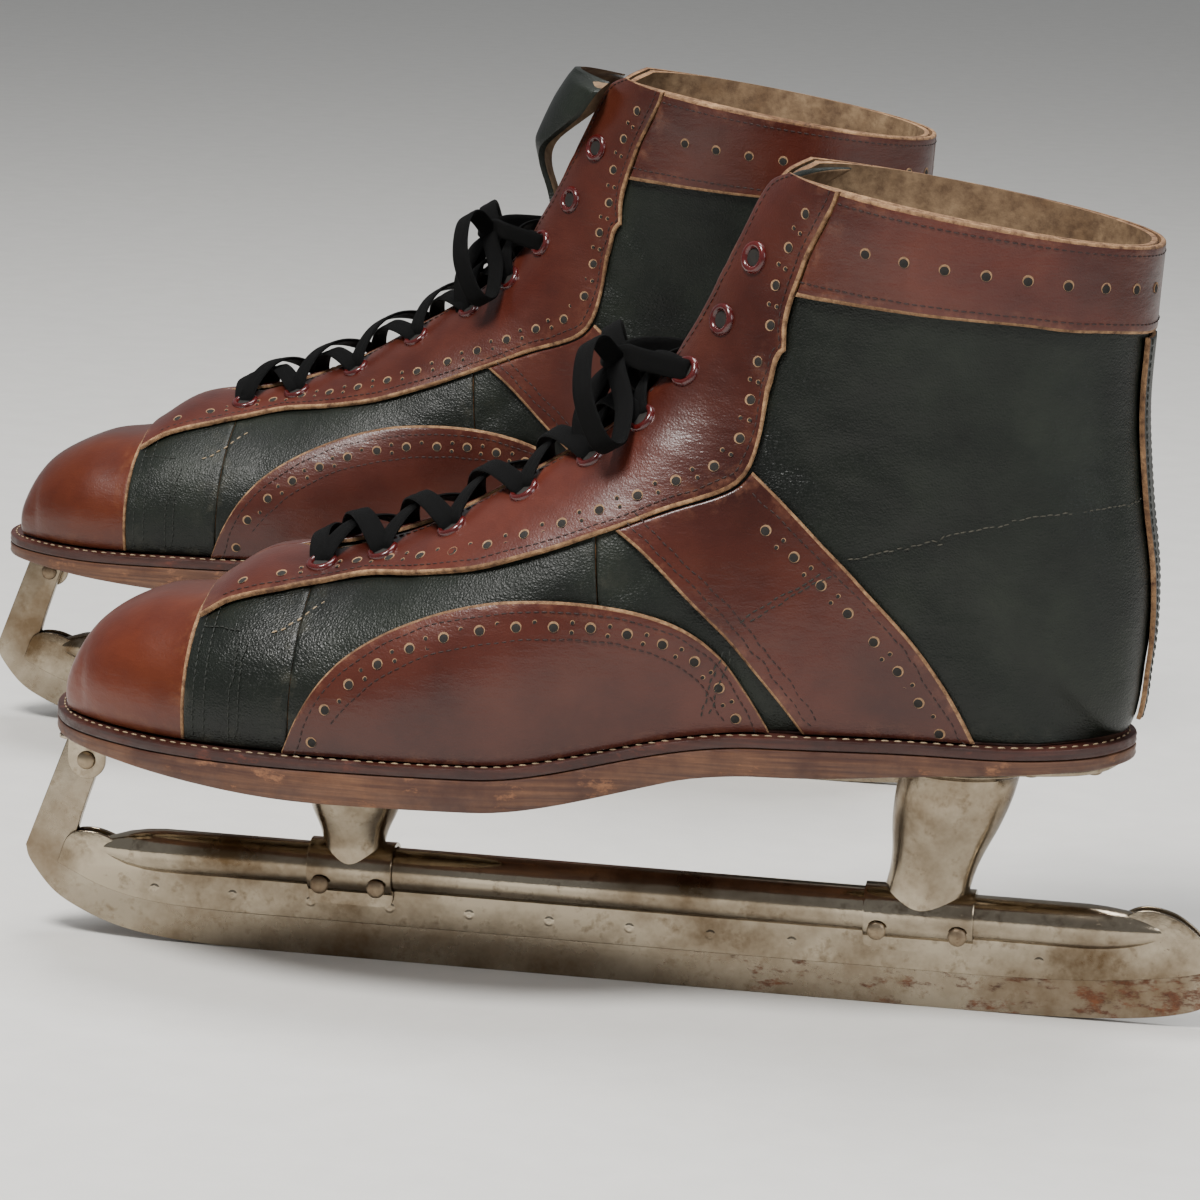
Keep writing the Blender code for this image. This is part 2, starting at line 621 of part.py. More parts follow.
def make_back_stay():
    """Strip over the back seam, between the welt and the collar band."""
    collar = collar_low(-1, np.array([1.0]))[0]
    rows = np.linspace(WELT_ROWS - 0.7, collar - 0.08, 10)
    swell = BACK_STAY_WIDTH * (0.6 + 0.5 * ramp(rows, 13, 17))
    left = girth_from_base(rows, swell, -1)
    right = girth_from_base(rows, swell, 1)
    t = np.linspace(0, 1, 3)
    outer_half = left[:, None] + (-1 - left)[:, None] * t
    inner_half = 1 + (right - 1)[:, None] * t
    u = np.concatenate([outer_half, inner_half[:, 1:]], axis=1)
    s = np.repeat(rows[:, None], 5, axis=1)
    outer = surface(s, u * 0.99999, OVER + OVERLAY)
    inner = surface(s, u * 0.99999, OVER)
    for grid in (outer, inner):
        grid[:, 2, 1] = 0.0
    new_object("back_stay", shell(outer, inner), DARK_LEATHER)


WING_ARCH = [(77.7, 69), (83.7, 85), (95.5, 97), (112, 107), (133, 113), (152, 115), (171, 113.5),
             (187, 107.5), (196, 99.5), (202, 89), (205, 82)]
STRAP_FRONT = [(164, 133), (177.5, 122), (194, 106.5), (204, 95), (213.5, 82.5)]
STRAP_REAR = [(200, 147), (218, 132), (237.5, 113.5), (249, 99), (259.5, 82)]


def make_wing(name, side):
    """Half-moon panel on the ball of the foot."""
    s, u = located(WING_ARCH, side, 15)
    low = side * np.ones(len(s))
    grid_s, grid_u = ruled(s, u, s, low, 6)
    u_low = np.abs(grid_u[:, 0]) > 0.985
    grid_u[u_low, 0] = side * 0.985
    sheet(name, grid_s, grid_u, OVER, OVER + OVERLAY, BROWN_LEATHER)


def make_strap(name, side):
    """Ankle strap from the facing down and back to the welt."""
    s_a, u_a = located(STRAP_FRONT, side, 12)
    s_b, u_b = located(STRAP_REAR, side, 12)
    grid_s, grid_u = ruled(s_a, u_a, s_b, u_b, 8)
    butt = facing_edge(grid_s[0], side) + side * 1.5 * BUTT
    for k in range(3):
        grid_u[k] = butt + (grid_u[3] - butt) * k / 3
    grid_u[-1] = side
    sheet(name, grid_s, grid_u, OVER, OVER + OVERLAY, BROWN_LEATHER)


# ---- tongue ----------------------------------------------------------------
TONGUE_UNDER = -(LEATHER + 4 * GAP)
HINGE_SECTION = 10.5


def tongue_hinge():
    ridge = surface(np.array([HINGE_SECTION]), np.array([1e-4]), TONGUE_UNDER - TONGUE_THICKNESS / 2)[0]
    return float(ridge[0]), float(ridge[2])


def make_tongue_lower():
    rows = np.linspace(THROAT_START - 0.35, HINGE_SECTION - 0.35, 12)
    t = np.linspace(-1, 1, 9)
    edge = np.abs(girth_at(rows, throat_gap(rows) + TONGUE_COVER, 1))
    s = np.repeat(rows[:, None], len(t), axis=1)
    u = edge[:, None] * t
    u[:, 4] = 1e-4
    sheet("tongue_lower", s, u, TONGUE_UNDER - TONGUE_THICKNESS, TONGUE_UNDER, DARK_LEATHER)


def make_tongue_upper(forward):
    """Free end of the tongue: tucked behind the facings, or pulled out in front."""
    x, z = tongue_hinge()
    hinge = bpy.data.objects.new(skate["prefix"] + "tongue_hinge", None)
    SKATES.objects.link(hinge)
    hinge.location = skate["empty"].location.copy()
    hinge.location.x += x
    hinge.location.z += z
    t = np.linspace(-1, 1, 9)
    if not forward:
        rows = np.linspace(HINGE_SECTION, TOP - 0.1, 12)
        edge = np.abs(girth_at(rows, throat_gap(rows) + TONGUE_COVER, 1))
        s = np.repeat(rows[:, None], len(t), axis=1)
        u = edge[:, None] * t
        u[:, 4] = 1e-4
        bm = shell(surface(s, u, TONGUE_UNDER), surface(s, u, TONGUE_UNDER - TONGUE_THICKNESS))
    else:
        v = np.linspace(0, 1, 12)[:, None]
        _, _, ridge_x, ridge_z, *_ = section_values(HINGE_SECTION + (TOP - 0.1 - HINGE_SECTION) * v)
        half = (THROAT_GAP - 2.5 * MM) + 18 * MM * ramp(v, 0.2, 0.66) - 8 * MM * ramp(v, 0.86, 1.0)
        mid_x = x + (ridge_x - ridge_x[0]) - TONGUE_FORWARD * ramp(v, 0, 0.4)
        mid_z = z + (ridge_z - ridge_z[0]) + 5 * MM * v
        back = 12 * MM * ramp(v, 0.2, 0.66)
        face_x = mid_x + back * t ** 2 - TONGUE_THICKNESS / 2
        outer = np.stack([face_x, half * t, mid_z - 3 * MM * t ** 2 * v], -1)
        inner = outer + np.array([TONGUE_THICKNESS, 0, 0])
        bm = shell(outer, inner)
    new_object("tongue_upper", bm, DARK_LEATHER, parent=hinge)


# ---- lace ------------------------------------------------------------------
EYELETS = [(80, 113), (97.7, 117.5), (117, 122.5), (137, 133.5), (154.5, 144), (169, 154.5), (180.5, 168),
           (188.5, 186), (195, 205)]
LACED = 7                         # pairs the lace runs through


def eyelet(k, side, offset):
    """Centre of eyelet k, held at its inset from the throat edge."""
    x, up = drawn(EYELETS[k])
    s, _ = locate(x, up, side)
    u = girth_at(s, throat_gap(s) + EYELET_INSET, side)[0]
    return surface(np.array([s]), np.array([u]), offset)[0]


def lace_route():
    """Both halves of the lace, joined by the bar across the first pair of eyelets."""
    stand = OVER + OVERLAY + GAP + LACE_DIAMETER / 2
    halves = []
    for first, arch in ((-1, 5.5 * MM), (1, 10.5 * MM)):
        points = []
        side = first
        for k in range(LACED):
            here = eyelet(k, side, stand)
            points.append(here)
            if k < LACED - 1:
                there = eyelet(k + 1, -side, stand)
                lean = np.array([-0.45 - 0.16 * k, 0, 0.95 - 0.08 * k])
                for t in (0.2, 0.4, 0.6, 0.8):
                    rise = arch * 4 * t * (1 - t)
                    points.append(here + (there - here) * t + lean * rise)
            side = -side
        end_side = -side
        last = points[-1]
        knot = 0.5 * (eyelet(LACED - 2, -1, stand) + eyelet(LACED - 2, 1, stand))
        knot = knot + np.array([-13 * MM, 0, 17 * MM])
        knot[1] = end_side * 5 * MM
        for t in (0.3, 0.65, 1.0):
            bow = np.array([-11 * MM, 0, 4 * MM]) * 4 * t * (1 - t)
            points.append(last + (knot - last) * t + bow)
        for turn in (0.12, 0.3, 0.5, 0.7, 0.86):
            angle = 2 * math.pi * turn
            open_side = 1 - math.cos(angle)
            loop = [-7 * math.sin(angle), end_side * 13 * open_side / 1.4, 5 * math.sin(angle) - 5 * open_side]
            points.append(knot + np.array(loop) * MM)
        halves.append(points)
    bar = [halves[0][0] * 0.5 + halves[1][0] * 0.5 + np.array([-5 * MM, 0, 6.5 * MM])]
    return np.array(halves[0][::-1] + bar + halves[1])


def make_lace():
    route = lace_route()
    if skate["mirrored"]:
        route = route * np.array([1, -1, 1])
    curve = bpy.data.curves.new(skate["prefix"] + "lace", "CURVE")
    curve.dimensions = "3D"
    curve.bevel_depth = LACE_DIAMETER / 2
    curve.bevel_resolution = 2
    curve.use_fill_caps = True
    line = curve.splines.new("POLY")
    line.points.add(len(route) - 1)
    for point, place in zip(line.points, route):
        point.co = (*place, 1)
    lace = bpy.data.objects.new(skate["prefix"] + "lace", curve)
    curve.materials.append(LACE_CLOTH)
    SKATES.objects.link(lace)
    lace.parent = skate["empty"]


# ---- steel -----------------------------------------------------------------
def blade_outline():
    """Side view of the runner with the toe arm in one piece."""
    top = BLADE_STRIP + 5.5 * MM
    arm_top = sole_bottom(10 * MM) - PLATE_THICKNESS - 2 * GAP - 0.4 * MM
    left = np.array([4.5 * MM, arm_top])
    nose = [(0, 25), (1.5, 20.5), (8, 12.5), (16, 7.6), (26, 3.8), (37, 1.6), (50, 0.5), (66, 0)]
    tail = [(-64, 0), (-38, 0.5), (-20, 2.0), (-8, 4.4), (-2, 7.5), (0, 11.5), (-1, 16)]
    rear = SOLE_LENGTH + BLADE_OVERHANG
    points = [tuple(left)] + [(BLADE_FRONT + x * MM, z * MM) for x, z in nose]
    points += [(rear + x * MM, z * MM) for x, z in tail]
    points += [(rear - 8 * MM, top), (30 * MM, top), (12 * MM, 22 * MM), (6.5 * MM, 28 * MM)]
    points += [(left[0] + ARM_WIDTH * 1.05, arm_top)]
    return points


def flange_outline():
    strip = BLADE_STRIP / MM
    rear = SOLE_LENGTH + BLADE_OVERHANG
    front = [(1.5, 21), (14, 15.2), (28, strip + 1.4), (46, strip + 0.2), (64, strip)]
    tail = [(-64, strip), (-38, strip + 0.8), (-20, strip + 2.6), (-6, strip + 5.2), (-0.8, 18.5),
            (-3, 23), (-8, 28), (-14, 31.4), (-22, 32.2), (-30, 28)]
    points = [(x * MM, z * MM) for x, z in front] + [(rear + x * MM, z * MM) for x, z in tail]
    return points + [(x * MM, z * MM) for x, z in ((20, 28), (12, 30.5), (5, 29.2))]


def keyhole(name, radius, half, low, x_start, x_end):
    """Round tube space with the flange space hanging below it."""
    z = TUBE_CENTRE
    round_part = lathe([(x_start, 0), (x_start, radius), (x_end, radius), (x_end, 0)], "X", (0, 0, z), 18)
    flat_part = box((x_start, -half, low), (x_end, half, z))
    body = new_object(name + "_round", round_part, None, cutter=True)
    legs = new_object(name + "_legs", flat_part, None, cutter=True)
    return body, legs


def drill(name, x, z, reach):
    """Cutter for a rivet hole across the blade's plane."""
    radius = RIVET_RADIUS + GAP
    profile = [(-reach, 0), (-reach, radius), (reach, radius), (reach, 0)]
    return new_object(name, lathe(profile, "Y", (x, 0, z), 8), None, cutter=True)


def rivet(name, x, z, y_low, y_high):
    """Solid rivet with a domed head at each end."""
    head = RIVET_HEAD
    rise = 0.45 * head
    profile = [(y_low - GAP - rise, 0), (y_low - GAP - 0.75 * rise, 0.62 * head), (y_low - GAP, head),
               (y_low - GAP, RIVET_RADIUS), (y_high + GAP, RIVET_RADIUS), (y_high + GAP, head),
               (y_high + GAP + 0.75 * rise, 0.62 * head), (y_high + GAP + rise, 0)]
    new_object(name, lathe(profile, "Y", (x, 0, z), 10), RIVET_STEEL)


def make_runner():
    """Blade with toe arm, and the tube whose flanges grip it."""
    outline = blade_outline()
    half = BLADE_THICKNESS / 2
    blade = new_object("blade", side_plate(outline, -half, half), BLADE_STEEL)
    hole = drill("arm_hole", *arm_rivet_place(), 8 * MM)
    boolean(blade, hole)
    flange_half = half + GAP + FLANGE_SHEET
    flange = new_object("tube", side_plate(flange_outline(), -flange_half, flange_half), NICKEL)
    r = TUBE_RADIUS
    end = SOLE_LENGTH + BLADE_OVERHANG - 13 * MM
    profile = [(14 * MM, 0), (14 * MM, 0.42 * r), (22 * MM, 0.8 * r), (32 * MM, r), (end - 23 * MM, r),
               (end - 13 * MM, 0.85 * r), (end - 4 * MM, 0.5 * r), (end, 0)]
    round_bar = new_object("tube_bar", lathe(profile, "X", (0, 0, TUBE_CENTRE), 18), None, cutter=True)
    slot = new_object("blade_slot", side_plate(grown(outline, GAP), -half - GAP, half + GAP), None, cutter=True)
    boolean(flange, round_bar, "UNION")
    boolean(flange, slot)
    return flange


def saddle_sizes():
    inside = BLADE_THICKNESS / 2 + GAP + FLANGE_SHEET + GAP
    return inside, inside + SADDLE_SHEET


def make_post(name, foot_x, lean, top_size, foot_size, tube):
    """Stamped post: oval top flange, tapering body, saddle over the tube, two rivets."""
    inside, outside = saddle_sizes()
    top_x = foot_x + lean
    lip = 3.0 * MM
    reach = np.linspace(-1, 1, 21) * (top_size / 2 + lip)
    top_z = float(np.min(sole_bottom(top_x + reach))) - PLATE_THICKNESS - 2 * GAP
    half_depth = POST_DEPTH / 2
    foot_half = TUBE_RADIUS + GAP + SADDLE_SHEET - 0.4 * MM
    height = top_z - TUBE_CENTRE
    rings = []
    for share, width, depth in ((0.0, foot_size, 2 * foot_half), (0.3, foot_size, 2 * foot_half),
                                (0.62, 0.5 * (foot_size + top_size) * 0.95, 0.8 * POST_DEPTH),
                                (0.94, top_size, POST_DEPTH)):
        rings.append((foot_x + lean * share, 0, TUBE_CENTRE + height * share, width / 2, depth / 2))
    rings.append((top_x, 0, top_z - 1.2 * MM, top_size / 2 + lip, half_depth + lip))
    rings.append((top_x, 0, top_z, top_size / 2 + lip, half_depth + lip))
    post = new_object(name, loft(rings), NICKEL)
    saddle_half = foot_size / 2 + 3 * MM
    low = TUBE_CENTRE - 10 * MM
    start = foot_x - saddle_half
    end = foot_x + saddle_half
    outer_round, outer_legs = keyhole(name + "_saddle", TUBE_RADIUS + GAP + SADDLE_SHEET, outside, low,
                                      start, end)
    boolean(post, outer_round, "UNION")
    boolean(post, outer_legs, "UNION")
    clear = 5 * MM
    inner_round, inner_legs = keyhole(name + "_clear", TUBE_RADIUS + GAP, inside, low - clear,
                                      start - clear, end + clear)
    boolean(post, inner_round)
    boolean(post, inner_legs)
    for label, x in (("fore", foot_x - saddle_half + 4 * MM), ("aft", foot_x + saddle_half - 4 * MM)):
        z = TUBE_CENTRE - 0.62 * TUBE_RADIUS
        hole = drill(name + "_hole_" + label, x, z, 12 * MM)
        boolean(post, hole)
        boolean(tube, hole)
        seat = TUBE_RADIUS + GAP + SADDLE_SHEET
        rivet(name + "_rivet_" + label, x, z, -seat, seat)


def arm_rivet_place():
    return 10.0 * MM, sole_bottom(10 * MM) - 9.5 * MM


def make_plates():
    """Steel plates under the sole and the angle bracket that holds the toe arm."""
    for name, start, end, front_half, back_half in (
            ("toe_plate", 19 * MM, FRONT_POST_X + 37.5 * MM, 12 * MM, 27 * MM),
            ("heel_plate", SOLE_LENGTH - 78 * MM, SOLE_LENGTH - 4 * MM, 26 * MM, 25 * MM)):
        share = np.linspace(0, 1, 15)
        x = start + (end - start) * share
        round_end = np.sqrt(np.clip(1 - np.abs(2 * share - 1) ** 4, 0.03, 1))
        half = (front_half + (back_half - front_half) * ramp(share, 0, 0.8)) * round_end
        inner, outer = plan_edges(x)
        half = np.minimum(half, 0.5 * (inner - outer) - 2 * MM)
        centre = 0.5 * (inner + outer) * 0.3
        top = sole_bottom(x) - GAP
        new_object(name, slab(x, centre + half, centre - half, top - PLATE_THICKNESS, top), NICKEL)
    x, z = arm_rivet_place()
    top = sole_bottom(x) - GAP - 0.2 * MM
    outer_face = -BLADE_THICKNESS / 2 - GAP
    sheet_size = PLATE_THICKNESS
    foot = box((x - 6 * MM, -11 * MM, top - sheet_size), (x + 7 * MM, 11 * MM, top))
    bracket = new_object("toe_bracket", foot, NICKEL)
    half = 5.4 * MM
    sweep = np.linspace(-math.pi / 2, math.pi / 2, 9)
    curve = [(x + half * math.sin(a), z - half * math.cos(a)) for a in sweep]
    tab = [(x - half, top - 0.5 * sheet_size)] + curve + [(x + half, top - 0.5 * sheet_size)]
    tab_plate = side_plate(tab, outer_face - sheet_size, outer_face)
    tab_body = new_object("bracket_tab", tab_plate, None, cutter=True)
    boolean(bracket, tab_body, "UNION")
    hole = drill("bracket_hole", x, z, 8 * MM)
    boolean(bracket, hole)
    rivet("toe_bracket_rivet", x, z, outer_face - sheet_size, BLADE_THICKNESS / 2)


# ---- the pair --------------------------------------------------------------
def make_skate(prefix, mirrored, shift_x, shift_y, tongue_forward):
    skate["prefix"] = prefix
    skate["mirrored"] = mirrored
    skate["empty"] = bpy.data.objects.new(prefix + "skate", None)
    SKATES.objects.link(skate["empty"])
    skate["empty"].location = (shift_x, shift_y, 0)
    make_sole()
    make_toe_cap()
    make_vamp()
    for label, side in (("outer", -1), ("inner", 1)):
        make_quarter("quarter_" + label, side)
        make_facing("facing_" + label, side)
        make_wing("wing_panel_" + label, side)
        make_strap("ankle_strap_" + label, side)
    make_collar()
    make_back_stay()
    make_tongue_lower()
    make_tongue_upper(tongue_forward)
    make_lace()
    tube = make_runner()
    make_post("front_post", FRONT_POST_X, 0.0, FRONT_POST_TOP, FRONT_POST_FOOT, tube)
    make_post("rear_post", SOLE_LENGTH - REAR_POST_SETBACK, REAR_POST_LEAN, REAR_POST_TOP, REAR_POST_FOOT, tube)
    make_plates()


middle = (BLADE_FRONT - PAIR_STAGGER + SOLE_LENGTH + BLADE_OVERHANG) / 2
make_skate("left_", False, -middle, -PAIR_SPACING / 2, False)
make_skate("right_", True, -middle - PAIR_STAGGER, PAIR_SPACING / 2, True)
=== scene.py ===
import math

import bmesh
import bpy
import numpy as np
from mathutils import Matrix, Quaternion, Vector


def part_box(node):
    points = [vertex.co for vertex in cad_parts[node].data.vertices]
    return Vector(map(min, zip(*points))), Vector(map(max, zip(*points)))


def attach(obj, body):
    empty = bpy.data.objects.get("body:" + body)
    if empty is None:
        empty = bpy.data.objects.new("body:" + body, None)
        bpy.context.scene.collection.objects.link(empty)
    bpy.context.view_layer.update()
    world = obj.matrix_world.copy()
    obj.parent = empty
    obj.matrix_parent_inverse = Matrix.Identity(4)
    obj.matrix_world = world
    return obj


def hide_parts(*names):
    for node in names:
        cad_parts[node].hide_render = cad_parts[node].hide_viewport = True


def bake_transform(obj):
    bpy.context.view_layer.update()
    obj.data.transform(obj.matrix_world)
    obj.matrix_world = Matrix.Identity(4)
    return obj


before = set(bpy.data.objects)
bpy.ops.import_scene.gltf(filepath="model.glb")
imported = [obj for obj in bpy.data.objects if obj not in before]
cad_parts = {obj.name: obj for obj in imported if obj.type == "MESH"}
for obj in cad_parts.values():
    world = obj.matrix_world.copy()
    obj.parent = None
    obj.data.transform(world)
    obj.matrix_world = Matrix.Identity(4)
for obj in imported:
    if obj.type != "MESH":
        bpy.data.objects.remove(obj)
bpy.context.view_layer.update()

print("frame loaded:", len(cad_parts), "nodes")

mm = 0.001
rng = np.random.default_rng(7)


def startMaterial(name):
    mat = bpy.data.materials.new(name)
    mat.use_nodes = True
    tree = mat.node_tree
    shader = tree.nodes["Principled BSDF"]
    return mat, tree, shader


def addNode(tree, kind, values=None, **settings):
    node = tree.nodes.new(kind)
    for key, value in settings.items():
        setattr(node, key, value)
    for key, value in (values or {}).items():
        node.inputs[key].default_value = value
    return node


def link(tree, source, target):
    tree.links.new(source, target)


def placedCoords(tree, scale):
    # Object coordinates stretched by a scale on each axis.
    coords = addNode(tree, "ShaderNodeTexCoord")
    place = addNode(tree, "ShaderNodeMapping", {"Scale": scale})
    link(tree, coords.outputs["Object"], place.inputs["Vector"])
    return place.outputs["Vector"]


def noiseAt(tree, coords, scale, detail=4.0, rough=0.55):
    noise = addNode(tree, "ShaderNodeTexNoise", {"Scale": scale, "Detail": detail, "Roughness": rough})
    link(tree, coords, noise.inputs["Vector"])
    return noise.outputs["Fac"]


def rampOf(tree, source, stops):
    node = addNode(tree, "ShaderNodeValToRGB")
    elements = node.color_ramp.elements
    while len(elements) < len(stops):
        elements.new(0.5)
    for element, (position, colour) in zip(elements, stops):
        element.position = position
        element.color = (*colour, 1) if len(colour) == 3 else colour
    link(tree, source, node.inputs["Fac"])
    return node.outputs["Color"]


def mixOf(tree, factor, a, b, blend="MIX"):
    node = addNode(tree, "ShaderNodeMix", data_type="RGBA", blend_type=blend)
    for socket, value in ((node.inputs["Factor"], factor), (node.inputs[6], a), (node.inputs[7], b)):
        if hasattr(value, "links"):
            link(tree, value, socket)
        elif isinstance(value, (int, float)):
            socket.default_value = value
        else:
            socket.default_value = (*value, 1)
    return node.outputs[2]


def mathOf(tree, operation, a, b=None):
    node = addNode(tree, "ShaderNodeMath", operation=operation)
    for socket, value in zip(node.inputs, (a, b)):
        if value is None:
            continue
        if hasattr(value, "links"):
            link(tree, value, socket)
        else:
            socket.default_value = value
    return node.outputs[0]


def bumpOf(tree, shader, layers):
    # Chain bumps: (height source, strength, distance).
    last = None
    for height, strength, distance in layers:
        bump = addNode(tree, "ShaderNodeBump", {"Strength": strength, "Distance": distance})
        link(tree, height, bump.inputs["Height"])
        if last is not None:
            link(tree, last, bump.inputs["Normal"])
        last = bump.outputs["Normal"]
    link(tree, last, shader.inputs["Normal"])


leatherLooks = {
    "darkLeather": {"deep": (0.0022, 0.0034, 0.0022), "body": (0.0055, 0.0080, 0.0052),
                    "high": (0.013, 0.017, 0.011),
                    "worn": (0.050, 0.048, 0.034), "rough": (0.34, 0.52), "grain": 0.85, "coat": 0.04,
                    "shine": 0.30},
    "brownLeather": {"deep": (0.042, 0.0065, 0.0035), "body": (0.066, 0.0125, 0.0065),
                     "high": (0.090, 0.021, 0.011),
                     "worn": (0.190, 0.075, 0.040), "rough": (0.26, 0.42), "grain": 0.3, "coat": 0.18,
                     "shine": 0.38},
    "capLeather": {"deep": (0.060, 0.0085, 0.0020), "body": (0.085, 0.0145, 0.0035),
                   "high": (0.112, 0.023, 0.006),
                   "worn": (0.210, 0.080, 0.030), "rough": (0.28, 0.42), "grain": 0.18, "coat": 0.16,
                   "shine": 0.38},
}


def leatherMaterial(name, look):
    # Grained leather: mottled dye, fine cells, long soft creases, pale rubs at the edges.
    mat, tree, shader = startMaterial(name)
    flat = placedCoords(tree, (1, 1, 1))
    creased = placedCoords(tree, (1.0, 1.0, 2.6))
    mottle = noiseAt(tree, flat, 38, 6, 0.6)
    cloud = noiseAt(tree, flat, 11, 3, 0.5)
    base = rampOf(tree, mottle, [(0.30, look["deep"]), (0.52, look["body"]), (0.78, look["high"])])
    shade = rampOf(tree, cloud, [(0.30, (0.55, 0.55, 0.55)), (0.70, (1.25, 1.25, 1.25))])
    base = mixOf(tree, 1.0, base, shade, "MULTIPLY")
    edge = addNode(tree, "ShaderNodeAttribute", attribute_name="edge")
    rubNoise = noiseAt(tree, flat, 160, 5, 0.7)
    rub = mathOf(tree, "MULTIPLY", edge.outputs["Fac"],
                 rampOf(tree, rubNoise, [(0.50, (0, 0, 0)), (0.68, (1, 1, 1))]))
    base = mixOf(tree, mathOf(tree, "MULTIPLY", rub, 0.55), base, look["worn"])
    scuffNoise = noiseAt(tree, placedCoords(tree, (0.6, 1, 2.4)), 70, 8, 0.75)
    scuff = rampOf(tree, scuffNoise, [(0.69, (0, 0, 0)), (0.76, (1, 1, 1))])
    base = mixOf(tree, mathOf(tree, "MULTIPLY", scuff, 0.35), base, look["worn"])
    link(tree, base, shader.inputs["Base Color"])
    low, high = look["rough"]
    roughness = rampOf(tree, cloud, [(0.3, (low,) * 3), (0.75, (high,) * 3)])
    link(tree, roughness, shader.inputs["Roughness"])
    shader.inputs["Coat Weight"].default_value = look["coat"]
    shader.inputs["Specular IOR Level"].default_value = look["shine"]
    shader.inputs["Coat Roughness"].default_value = 0.28
    cells = addNode(tree, "ShaderNodeTexVoronoi", {"Scale": 1150.0}, feature="DISTANCE_TO_EDGE")
    link(tree, flat, cells.inputs["Vector"])
    pores = noiseAt(tree, flat, 900, 3, 0.6)
    folds = noiseAt(tree, creased, 60, 4, 0.6)
    bumpOf(tree, shader, [(folds, 0.35, 0.0012), (cells.outputs["Distance"], look["grain"], 0.00022),
                          (pores, look["grain"] * 0.6, 0.00018)])
    return mat


def fuzzyMaterial(name, pale, dark, scale=420, strength=0.8):
    # Raw cut leather and rough lining: fibrous, matt.
    mat, tree, shader = startMaterial(name)
    coords = placedCoords(tree, (1, 1, 1))
    fibre = noiseAt(tree, coords, scale, 6, 0.7)
    patch = noiseAt(tree, coords, 45, 4, 0.6)
    tone = rampOf(tree, fibre, [(0.32, dark), (0.62, pale)])
    stain = rampOf(tree, patch, [(0.35, (0.45, 0.38, 0.32)), (0.62, (1, 1, 1))])
    link(tree, mixOf(tree, 1.0, tone, stain, "MULTIPLY"), shader.inputs["Base Color"])
    shader.inputs["Roughness"].default_value = 0.85
    bumpOf(tree, shader, [(fibre, strength, 0.0006)])
    return mat


def soleMaterial(name, pale, dark, glossy):
    # Edge of stacked sole leather: fine level layers, rubbed and stained.
    mat, tree, shader = startMaterial(name)
    layers = noiseAt(tree, placedCoords(tree, (0.03, 0.03, 1)), 900, 4, 0.6)
    patch = noiseAt(tree, placedCoords(tree, (1, 1, 1)), 28, 6, 0.7)
    spots = noiseAt(tree, placedCoords(tree, (0.5, 0.5, 1)), 150, 6, 0.75)
    tone = rampOf(tree, layers, [(0.30, dark), (0.65, pale)])
    tone = mixOf(tree, rampOf(tree, patch, [(0.38, (0, 0, 0)), (0.62, (0.85, 0.85, 0.85))]), tone, dark)
    wear = rampOf(tree, spots, [(0.58, (0, 0, 0)), (0.66, (1, 1, 1))])
    tone = mixOf(tree, mathOf(tree, "MULTIPLY", wear, 0.6), tone, [min(1, 1.7 * c) for c in pale])
    link(tree, tone, shader.inputs["Base Color"])
    link(tree, rampOf(tree, spots, [(0.4, (glossy,) * 3), (0.7, (0.8,) * 3)]), shader.inputs["Roughness"])
    bumpOf(tree, shader, [(layers, 0.35, 0.0004), (spots, 0.3, 0.0004)])
    return mat


def metalMaterial(name, clean, tarnish, rough, rustAmount, rustFromX, streak):
    # Old plated steel: warm tarnish clouds, fine scratches, rust freckles growing towards the heel.
    mat, tree, shader = startMaterial(name)
    flat = placedCoords(tree, (1, 1, 1))
    cloud = noiseAt(tree, flat, 24, 6, 0.65)
    fine = noiseAt(tree, flat, 190, 5, 0.7)
    scratch = noiseAt(tree, placedCoords(tree, streak), 420, 4, 0.6)
    tone = rampOf(tree, cloud, [(0.36, tarnish), (0.60, clean)])
    tone = mixOf(tree, rampOf(tree, fine, [(0.55, (0, 0, 0)), (0.72, (0.7, 0.7, 0.7))]), tone, tarnish)
    coords = addNode(tree, "ShaderNodeTexCoord")
    apart = addNode(tree, "ShaderNodeSeparateXYZ")
    link(tree, coords.outputs["Object"], apart.inputs[0])
    toHeel = mathOf(tree, "MULTIPLY", mathOf(tree, "SUBTRACT", apart.outputs["X"], rustFromX), 0.7)
    freckle = noiseAt(tree, placedCoords(tree, (0.45, 1, 1)), 260, 8, 0.75)
    level = mathOf(tree, "ADD", freckle, toHeel)
    rust = rampOf(tree, level, [(0.64, (0, 0, 0)), (0.74, (1, 1, 1))])
    rust = mathOf(tree, "MULTIPLY", rust, rustAmount)
    rustTone = rampOf(tree, fine, [(0.35, (0.055, 0.016, 0.006)), (0.65, (0.20, 0.065, 0.022))])
    link(tree, mixOf(tree, rust, tone, rustTone), shader.inputs["Base Color"])
    link(tree, mathOf(tree, "SUBTRACT", 1.0, mathOf(tree, "MULTIPLY", rust, 0.85)), shader.inputs["Metallic"])
    low, high = rough
    dull = rampOf(tree, cloud, [(0.35, (high,) * 3), (0.62, (low,) * 3)])
    link(tree, mixOf(tree, rust, dull, (0.85, 0.85, 0.85)), shader.inputs["Roughness"])
    bumpOf(tree, shader, [(scratch, 0.16, 0.0002), (fine, 0.22, 0.0003), (rust, 0.3, 0.0002)])
    return mat


